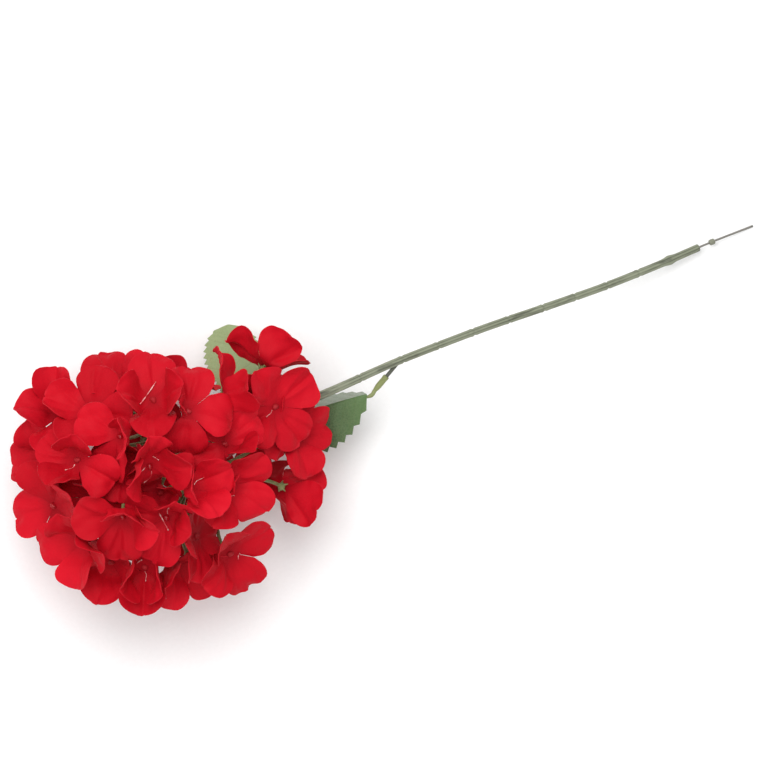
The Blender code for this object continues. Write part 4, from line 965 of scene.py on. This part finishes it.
# %% Wire and sheath
SHEATH_MOUTH_X = 204.5
SHEATH_HEAD_X = -138.0
SHEATH_RADIUS = 2.3
SHEATH_NECK_RADIUS = 2.6
SHEATH_NECK_X = -22.0
SHEATH_NECK_TAPER = 40.0
SHEATH_BORE_RADIUS = 0.95
NODE_SCARS_X = (-14.0, 13.6, 36.5, 59.2, 81.6, 103.7, 124.0, 144.5, 165.0)
SWELLING_X = 185.0
SWELLING_RADIUS = 3.0
SHEATH_SIDES = 40
SHEATH_STEP = 0.55
GROOVE_DEPTH = 0.045
GROOVE_HALF_WIDTH = 0.16


def sheath_radius(x):
    """Neck taper, minus a waist at each scar, plus its two collars, plus the swelling."""
    radius = SHEATH_RADIUS + (SHEATH_NECK_RADIUS - SHEATH_RADIUS) * np.clip(
        (SHEATH_NECK_X - x) / SHEATH_NECK_TAPER + 0.5, 0.0, 1.0)
    for scar in NODE_SCARS_X:
        radius = radius - 0.4 * bell(x, scar, 0.5)
        radius = radius + 0.18 * bell(x, scar - 1.5, 0.9) + 0.08 * bell(x, scar + 1.7, 0.9)
    return radius + (SWELLING_RADIUS - SHEATH_RADIUS) * bell(x, SWELLING_X, 2.6)


def sheath_shape():
    """Outer wall from the head to the mouth, then back inside as the bore. The radius is
    uneven by 0.018 sin(3 a + 0.11 x), less a bell at each groove."""
    wall_x = np.arange(SHEATH_HEAD_X + 1.5, SHEATH_MOUTH_X - 1.2, SHEATH_STEP)
    ends_x = SHEATH_HEAD_X, SHEATH_HEAD_X + 0.6, SHEATH_MOUTH_X - 0.5, SHEATH_MOUTH_X
    bore_x = np.linspace(SHEATH_MOUTH_X, SHEATH_MOUTH_X - 30.0, 8)
    x = np.concatenate([ends_x[:2], wall_x, ends_x[2:], bore_x])
    radii = np.concatenate([
        [1.2, 2.1], sheath_radius(wall_x), [2.25, 1.9], np.full(len(bore_x), SHEATH_BORE_RADIUS),
    ])
    route_x = np.linspace(SHEATH_HEAD_X, WIRE_TIP_X, 400)
    slopes = np.gradient(stem_point(route_x), axis=0)
    along = unit(np.stack([np.interp(x, route_x, slope) for slope in slopes.T], axis=-1))
    across = unit(np.cross(along, UP))
    angle = even_angles(SHEATH_SIDES) - math.pi
    uneven = 1.0 + 0.018 * np.sin(3 * angle + 0.11 * x[:, None])
    for place in GROOVES:
        uneven = uneven - GROOVE_DEPTH * bell(angle, place, GROOVE_HALF_WIDTH)
    shape = ring_shape(stem_point(x), np.cross(across, along), across, radii[:, None] * uneven,
                       SHEATH_SIDES, -math.pi)
    flat = np.stack([np.tile(angle, len(x) + 2), np.zeros(len(shape[0]))], axis=-1)
    return *shape, flat, np.zeros_like(flat)


wire_path = stem_point(np.linspace(WIRE_END_X, WIRE_TIP_X, 120))
make_piece("bare_wire", tube(wire_path, [WIRE_RADIUS] * 120, 16), WIRE_LOOK, ["stem_wire"])
print("node scars on the sheath:", len(NODE_SCARS_X))

# %% [markdown]
# ## Stubs, sockets and arms
# Each sprig is one moulding: a blind socket that grips a stub of the sheath, a small ball
# where it forks, and one arm for each floret. An arm ends in a calyx, a peg through the
# floret's hole and a bead that keeps the floret on. The same points place them as in the
# solids, with rounder sections and softer shoulders.

# %% Sprig parts
STUB_RADIUS = 1.15
STUB_REACH = 6.0         # how far a stub goes into its socket
STUB_START = 1.2         # clear of the wire, where the wire runs in the sheath
SOCKET_BORE = ((6.6, 0.9), (6.2, 1.5), (0.3, 1.5), (0.0, 1.65))
SOCKET_LENGTH = 8.6
FORK_DEPTH = 1.6
SPRIG_SOCKET = (
    (0.0, 2.2), (0.3, 2.4), (1.6, 2.4), (2.1, 2.1), (7.1, 2.0), (8.6, 2.12), (9.8, 2.35), (11.0, 2.35),
    (12.4, 2.0), (13.2, 1.06),
)
LEAF_SOCKET = (
    (0.0, 1.8), (0.3, 1.95), (1.6, 1.95), (2.1, 1.8), (7.0, 1.85), (8.4, 1.75), (9.8, 1.55), (12.4, 0.85),
)
ARM_RADIUS = 1.05
ARM_LEAVING, ARM_ARRIVING = 0.3, 0.38
ARM_STEPS = 20
ARM_SIDES = 12
ARM_HEAD = (
    (-5.0, 1.1), (-4.2, 1.5), (-3.2, 2.3), (-2.5, 2.6), (-1.9, 2.4), (-1.2, 1.6), (-0.6, 0.95), (0.5, 0.9),
    (0.7, 1.05), (0.9, 1.2), (1.1, 1.1), (1.25, 0.7), (1.3, 0.3),
)
CALYX_FOOT = -5.6
SPRIG_SIDES = 14
SPRIGS = {               # place on the stem, direction and start of the socket
    "crown": (-133.0, (-0.15, 0.05, 1.0), 3.6),
    "tip": (-138.0, (-1.0, 0.1, 0.16), 2.2),
    "left_back": (-128.0, (-0.35, 0.95, 0.25), 4.6),
    "left_front": (-128.0, (-0.35, -0.95, 0.2), 4.6),
    "right_front": (-113.0, (0.0, -0.75, 0.7), 3.8),
    "right_back": (-110.0, (0.1, 0.75, 0.7), 3.9),
    "under_front": (-118.0, (-0.1, -0.55, -1.0), 3.9),
    "under_back": (-124.0, (-0.2, 0.6, -1.0), 4.0),
    "trailing": (-41.0, (-0.8, 0.72, 0.25), 7.2),
}


# %% Sprig shapes
def stub_shape(x, direction, socket_at):
    """Round stub from the sheath's axis to just inside the socket's end."""
    end = socket_at + STUB_REACH
    start = 0.0 if x <= WIRE_END_X - 4.0 else STUB_START
    profile = [(start, STUB_RADIUS), (socket_at - 1.5, STUB_RADIUS), (end - 0.8, STUB_RADIUS), (end, 0.8)]
    return turned(stem_point(x), direction, profile, SPRIG_SIDES)


def socket_shape(x, direction, socket_at, wall):
    """Blind bore, then the outer wall from its lip to its end."""
    return turned(stem_point(x), direction, np.add(SOCKET_BORE + wall, (socket_at, 0.0)), SPRIG_SIDES)


def fork_point(x, direction, socket_at):
    """The ball where the arms start, just past the socket's end."""
    return stem_point(x) + unit(direction) * (socket_at + SOCKET_LENGTH + FORK_DEPTH)


def arm_shape(x, direction, socket_at, plan):
    """Bezier rod from the fork to the calyx's foot, then the head's profile along the normal."""
    centre, normal = plan["centre"], plan["normal"]
    fork = fork_point(x, direction, socket_at)
    foot = centre + normal * CALYX_FOOT
    reach = np.linalg.norm(foot - fork)
    leaving = fork + unit(direction) * reach * ARM_LEAVING
    rod = bezier(fork, leaving, foot - normal * reach * ARM_ARRIVING, foot, ARM_STEPS)
    step = np.arange(ARM_STEPS)
    radii = ARM_RADIUS * (1.0 + 0.15 * bell(step, 0, 6) + 0.12 * bell(step, 11, 1.3))
    heights, head_radii = np.array(ARM_HEAD).T
    path = np.vstack([rod, centre + normal * heights[:, None]])
    return tube(path, np.concatenate([radii, head_radii]), ARM_SIDES)


SEPALS = 5
SEPAL_PATH = ((1.3, -3.0), (2.1, -2.6), (2.9, -2.2), (3.6, -1.8), (4.2, -1.5))
SEPAL_RADII = (0.9, 0.75, 0.55, 0.35, 0.1)
SEPAL_TURN = 0.15


def sepal_shapes(plan):
    """Pointed lobes round the calyx, under the petals: cones along (distance, height) points,
    at even angles plus a small seeded turn."""
    draw = random.Random("sepals " + plan["name"])
    direction, side = petal_axes(plan, 0)
    lobes = []
    for number in range(SEPALS):
        angle = 2 * math.pi * number / SEPALS + draw.uniform(-SEPAL_TURN, SEPAL_TURN)
        out = direction * math.cos(angle) + side * math.sin(angle)
        distance, height = np.array(SEPAL_PATH).T[..., None]
        path = plan["centre"] + out * distance * draw.uniform(0.85, 1.1) + plan["normal"] * height
        lobes.append(tube(path, SEPAL_RADII, 8))
    return lobes


# %% Make the sprigs
for name, place in SPRIGS.items():
    shapes = [socket_shape(*place, SPRIG_SOCKET)]
    for plan in PLANS:
        if plan["sprig"] == name:
            shapes += [arm_shape(*place, plan), *sepal_shapes(plan)]
    make_piece("moulded_" + name, join(shapes), SPRIG_LOOK, ["sprig_" + name])
    print(name, "arms:", len(shapes) // (1 + SEPALS))

# %% [markdown]
# ## Leaves
# A leaf is printed polyester cloth glued to the rib of a moulded stalk. Its edge is
# stamped into saw teeth, and the warm press leaves a relief: a groove over each side vein
# and the cloth swelling between them. The blade's outline repeats the solid's points, so
# the teeth fall in the same places, and a finer grid carries the relief.

# %% Leaf values and outline
RIB_RADIUS = 0.85
RIB_GAP = 0.3
LEAVES = {
    "dark_leaf": {
        "place": (11.5, (-0.875, -0.48, -0.12), 12.4), "slot": "dark_leaf_fabric",
        "ribs": ((-14.5, -0.6, 42.0), (-42.0, 3.2, 41.0), (-70.0, 2.8, 36.0), (-94.5, 1.2, 30.0)),
        "half_width": 24.0, "taper": (0.8, 0.9), "near_fold": -12.0, "far_fold": -77.0,
        "ridge": (1.6, 0.4), "teeth": 13, "tooth": 2.7, "relief": 0.4,
    },
    "pale_leaf": {
        "place": (-68.0, (-0.45, 0.6, -0.7), 5.4), "slot": "pale_leaf_fabric",
        "ribs": ((-83.0, 23.0, 45.0), (-83.0, 39.0, 38.0), (-80.5, 55.0, 30.0), (-77.0, 70.0, 25.0)),
        "half_width": 15.9, "taper": (1.45, 0.45), "near_fold": -12.0, "far_fold": -16.0,
        "ridge": (0.0, 0.0), "teeth": 14, "tooth": 2.2, "relief": 0.2,
    },
}
ROWS_PER_TOOTH = 8
LEAF_COLUMNS = 12
LEAF_MARGIN = 0.6        # added to the half width, as in the solid
LEAF_SINKING = 0.25      # the relief rises from this far below the solid's middle
TOOTH_RAKE = 0.22        # how far a tooth leans to the foot, as a share of its height
VEIN_SWEEP = 0.55        # slant of the side veins: millimetres along for one across


# %% Leaf shapes
def leaf_outline(share, taper):
    """sin(180 share^a)^b: half width as a share of the widest, with a and b from the taper."""
    widest_place, fullness = taper
    return np.sin(np.pi * np.clip(share, 0.0, 1.0) ** widest_place) ** fullness


def leaf_grid(leaf):
    """Points (rows, columns, 3) of the blade's middle surface, with flat coordinates in
    millimetres and the share of the way to the edge. Between the solid's stations the
    edge runs straight, which keeps each tooth where the solid has it."""
    stations = 2 * leaf["teeth"] + 1
    number = np.arange(stations)
    at = np.linspace(0, stations - 1, (stations - 1) * ROWS_PER_TOOTH // 2 + 1)
    rib = bezier(*leaf["ribs"], len(at))
    forward = unit(np.gradient(rib, axis=0))
    across = unit(np.cross(UP, forward))
    up = np.cross(forward, across)
    tooth = np.interp(at, number, np.where(number % 2 == 1, leaf["tooth"], 0.0))[:, None]
    width = leaf["half_width"] * leaf_outline(number / (stations - 1), leaf["taper"])
    width = np.interp(at, number, width)[:, None]

    share = np.linspace(-1.0, 1.0, 2 * LEAF_COLUMNS + 1)
    side = np.where(share < 0, -1.0, 1.0)
    fold = np.radians(np.where(share < 0, leaf["far_fold"], leaf["near_fold"]))[:, None]
    distance = np.abs(share) * (width + LEAF_MARGIN) + tooth * smooth(np.abs(share), 0.55, 0.45)
    length = np.linalg.norm(np.diff(bezier(*leaf["ribs"], stations), axis=0), axis=1).sum()
    run = at[:, None] / (stations - 1) * length * np.ones(len(share))
    swept = run - VEIN_SWEEP * distance
    relief = leaf["relief"] * np.abs(np.sin(np.pi * swept / (length / leaf["teeth"]))) ** 0.6
    relief = relief * smooth(np.abs(share), 0.04, 0.3) * (1.0 - 0.5 * np.abs(share))

    ridge_aside, ridge_up = leaf["ridge"]
    base = rib + up * (RIB_RADIUS + RIB_GAP + CLOTH / 2 + ridge_up) - across * ridge_aside
    across, up = across[:, None] * side[:, None], up[:, None]
    points = base[:, None] + (across * np.cos(fold) + up * np.sin(fold)) * distance[..., None]
    points = points + (up * np.cos(fold) - across * np.sin(fold)) * (relief - LEAF_SINKING)[..., None]
    rake = TOOTH_RAKE * tooth * (np.abs(share) > 0.97)
    points = points - forward[:, None] * rake[..., None]
    rim = np.stack([np.abs(share) * np.ones_like(run), swept / length], axis=-1)
    return press(points), np.stack([distance * side, run], axis=-1), rim


def blade_shape(points, *maps):
    """The leaf's grid with its thickness, along the cross product of its two directions."""
    normals = unit(np.cross(np.gradient(points, axis=0), np.gradient(points, axis=1)))
    numbers = np.arange(points.size // 3).reshape(points.shape[:2])
    rim = np.concatenate([numbers[:, 0], numbers[-1, 1:], numbers[-2::-1, -1], numbers[0, -2:0:-1]])
    points, normals, *maps = [np.vstack(rows) for rows in (points, normals, *maps)]
    return thicken(points, normals, grid_faces(numbers), [rim], *maps)


# %% [markdown]
# ## Leaf cloth
# The dark leaf is the printed face: a deep green with yellower veins and a soft mottle,
# and a painted sheen makes it paler grey-green on the half that hangs down. The pale leaf shows its back,
# where the print only stains the cloth to sage, yellower at the foot, and the veins hardly show. The
# veins follow the same slanting lines as the relief.

# %% Leaf looks
LEAF_VEIN_MM = 6.2
MIDRIB_MM = 0.91
NET_MM = 1.82
NET_LINE = 0.167
FOOT_TINT_MM = 26.0


def leaf_cloth(name, ground, mottle, vein, vein_share, foot, far_half_sheen, rough, sheen):
    """Printed cloth: mottled ground, side veins where the swept coordinate repeats, midrib,
    a tint at the foot that fades out 26 mm from it, and a paler painted sheen beyond the midrib."""
    look, tree, shader = new_look(name, Specular_IOR_Level=0.35, Sheen_Weight=sheen, Sheen_Roughness=0.4)
    flat = add(tree, "UVMap", uv_map="flat")
    u, v, _ = add(tree, "SeparateXYZ", flat).outputs
    off = add(tree, "Math", u, operation="ABSOLUTE")
    swept = add(tree, "Math", off, -VEIN_SWEEP, v, operation="MULTIPLY_ADD")
    lines = add(tree, "Math", swept, math.pi / LEAF_VEIN_MM, operation="MULTIPLY")
    lines = add(tree, "Math", add(tree, "Math", lines, operation="SINE"), operation="ABSOLUTE")
    lines = add(tree, "MapRange", lines, 0.2, 0.0)
    midrib = add(tree, "MapRange", off, MIDRIB_MM, 0.0)
    veins = add(tree, "Math", lines, midrib, operation="MAXIMUM")
    net = add(tree, "TexVoronoi", flat, 1.0 / NET_MM, feature="DISTANCE_TO_EDGE")
    patches = add(tree, "TexNoise", add(tree, "TexCoord").outputs["Object"], per_metre(14.3), 4.0)
    layers = (
        (patches, mottle),
        (add(tree, "MapRange", net, 0.0, NET_LINE, 0.2, 0.0), vein),
        (add(tree, "Math", veins, vein_share, operation="MULTIPLY"), vein),
        (add(tree, "MapRange", v, FOOT_TINT_MM, 0.0, 0.0, 0.8), foot),
        # painted sheen: paler beyond the midrib, on the half that hangs down
        (add(tree, "MapRange", u, 0.0, -1.0, 0.0, 0.65), far_half_sheen),
    )
    rough = add(tree, "Math", patches, 0.2, rough, operation="MULTIPLY_ADD")
    height = add(tree, "MapRange", net, 0.0, NET_LINE, 0.0, 0.25)
    height = add(tree, "Math", weave(tree, u, v), 0.12, height, operation="MULTIPLY_ADD")
    height = add(tree, "Math", veins, -0.6, height, operation="MULTIPLY_ADD")
    surface(tree, shader, ground, layers, rough, height)
    return look


LEAF_LOOKS = {
    # the dark leaf's far half is painted paler grey-green as sheen
    "dark_leaf": leaf_cloth("printed_leaf_cloth_face", "516a42", "2f4226", "7f9263", 0.16,
                            "5c7a48", "86917e", 0.42, 0.3),
    "pale_leaf": leaf_cloth("printed_leaf_cloth_back", "96a679", "869767", "a9b88c", 0.12,
                            "8f9152", "96a679", 0.6, 0.2),
}
print("leaf cloth: side veins every", LEAF_VEIN_MM, "mm")

# %% Make the leaves and their stalks
def stalk_shapes(leaf):
    """Socket, bent rod and the rib under the blade, thinning to the leaf's tip."""
    fork = fork_point(*leaf["place"])
    rib = np.array(leaf["ribs"])
    foot = rib[0] - unit(rib[1] - rib[0]) * 4.0
    rod = bezier(fork, fork + unit(leaf["place"][1]) * 3.0, foot, rib[0], 10)
    along = bezier(*rib, 33)[1:-6]
    radii = RIB_RADIUS * np.array([*[1.5] * 8, 1.3, 1.0, *np.linspace(1.0, 0.5, len(along))])
    return [socket_shape(*leaf["place"], LEAF_SOCKET), tube(np.vstack([rod, along]), radii, ARM_SIDES)]


for name, leaf in LEAVES.items():
    shape, sharp = blade_shape(*[grid[:, ::-1] for grid in leaf_grid(leaf)])
    make_piece(name + "_cloth", shape, LEAF_LOOKS[name], [name + "_blade"], sharp)
    make_piece(name + "_moulding", join(stalk_shapes(leaf)), SPRIG_LOOK, [name + "_stalk"])
    print(name, "teeth on each side:", leaf["teeth"])

# %% Make the sheath and its stubs
make_piece("stem_sleeve", sheath_shape(), SHEATH_LOOK, ["stem_sheath"])
places = [*SPRIGS.values(), *[leaf["place"] for leaf in LEAVES.values()]]
stubs = [stub_shape(*place) for place in places]
make_piece("sleeve_stubs", join(stubs), SHADED_STUB_LOOK, [])
print("stubs on the sheath:", len(stubs))

# %% [markdown]
# ## The bead on the wire
# A crumb of green plastic is left on the bare wire next to the sheath's mouth, from when
# the sheath was cut back. It is a ring, so its profile closes on itself round the wire.

# %% Wire bead
BEAD_X = 213.0
BEAD_RADIUS = 1.9
BEAD_LENGTH = 3.4
BEAD_ROWS, BEAD_SIDES = 20, 24


def bead_shape():
    """Ring: an ellipse of (along, radius) turned round the wire, a little lumpy."""
    turn = even_angles(BEAD_ROWS)
    along = BEAD_LENGTH / 2 * np.cos(turn)
    radius = (BEAD_RADIUS + SHEATH_BORE_RADIUS) / 2 + (BEAD_RADIUS - SHEATH_BORE_RADIUS) / 2 * np.sin(turn)
    axis = unit(stem_point(BEAD_X + 1.0) - stem_point(BEAD_X - 1.0))
    across = unit(np.cross(axis, UP))
    angle = even_angles(BEAD_SIDES)
    lump = 1.0 + 0.05 * np.sin(2 * angle + 1.0) + 0.03 * np.sin(5 * angle)
    circle = np.outer(np.cos(angle), np.cross(across, axis)) + np.outer(np.sin(angle), across)
    points = stem_point(BEAD_X) + axis * along[:, None, None] + circle * (radius[:, None] * lump)[..., None]
    numbers = np.arange(BEAD_ROWS * BEAD_SIDES).reshape(BEAD_ROWS, BEAD_SIDES)
    return points.reshape(-1, 3), grid_faces(np.pad(numbers, ((0, 1), (0, 1)), mode="wrap"))


make_piece("sleeve_crumb", bead_shape(), CRUMB_LOOK, ["wire_bead"])

# %% [markdown]
# ## Floor, light and camera
# The flower lies on a plain pale floor under a large soft key light and a bright room.
# The camera looks straight down from far off, turned so that the stem rises to the right.

# %% Stage
VIEW_CENTRE = (-4.0, 3.2)
VIEW_WIDTH = 456.0
VIEW_TURN = -21.3
VIEW_PLANE = 50.0
VIEW_DISTANCE = 8000.0
SENSOR = 36.0
CLIP_END = 30.0          # metres, as are the floor's half width and the lights' places and sizes
FLOOR_HALF = 6.0
ROOM_STRENGTH = 0.7
KEY_LIGHT = ((-0.1, 0.42, 1.32), 0.9, 12.7)
FILL_LIGHT = ((-0.9, -0.6, 1.2), 1.4, 5.0)


def stage_floor():
    """A pale matt floor, far wider than the view."""
    mesh = bpy.data.meshes.new("floor")
    corners = [(x * FLOOR_HALF, y * FLOOR_HALF, 0.0) for x, y in ((-1, -1), (1, -1), (1, 1), (-1, 1))]
    mesh.from_pydata(corners, [], [(0, 1, 2, 3)])
    look, tree, shader = new_look("pale_studio_paper", Specular_IOR_Level=0.1)
    grain = add(tree, "TexNoise", add(tree, "TexCoord").outputs["Object"], per_metre(2.5), 2.0)
    surface(tree, shader, "f7f7f7", [(grain, "fdfdfd")], 0.9)
    mesh.materials.append(look)
    floor = put("floor", mesh)


def area_light(name, place, size, power):
    """A square soft light at a place in metres, aimed at the head."""
    data = bpy.data.lights.new(name, "AREA")
    data.energy = power
    data.size = size
    lamp = put(name, data, place)
    aim = bpy.data.objects["petals_top"].data.vertices[0].co
    lamp.rotation_euler = (lamp.location - aim).to_track_quat("Z", "Y").to_euler()


stage_floor()
area_light("key_light", *KEY_LIGHT)
area_light("fill_light", *FILL_LIGHT)
room = bpy.data.worlds.new("bright_room")
room.use_nodes = True
sky = room.node_tree.nodes["Background"]
feed(room.node_tree, sky.inputs["Color"], "ffffff")
feed(room.node_tree, sky.inputs["Strength"], ROOM_STRENGTH)
bpy.context.scene.world = room
bpy.context.scene.view_settings.view_transform = "Standard"
print("view width:", VIEW_WIDTH, "mm")

lens = bpy.data.cameras.new("overhead")
lens.sensor_width = SENSOR
lens.lens = SENSOR * VIEW_DISTANCE / VIEW_WIDTH
lens.clip_end = CLIP_END
lens_place = [c * METRE for c in (*VIEW_CENTRE, VIEW_PLANE + VIEW_DISTANCE)]
bpy.context.scene.camera = put("overhead", lens, lens_place, (0.0, 0.0, math.radians(VIEW_TURN)))
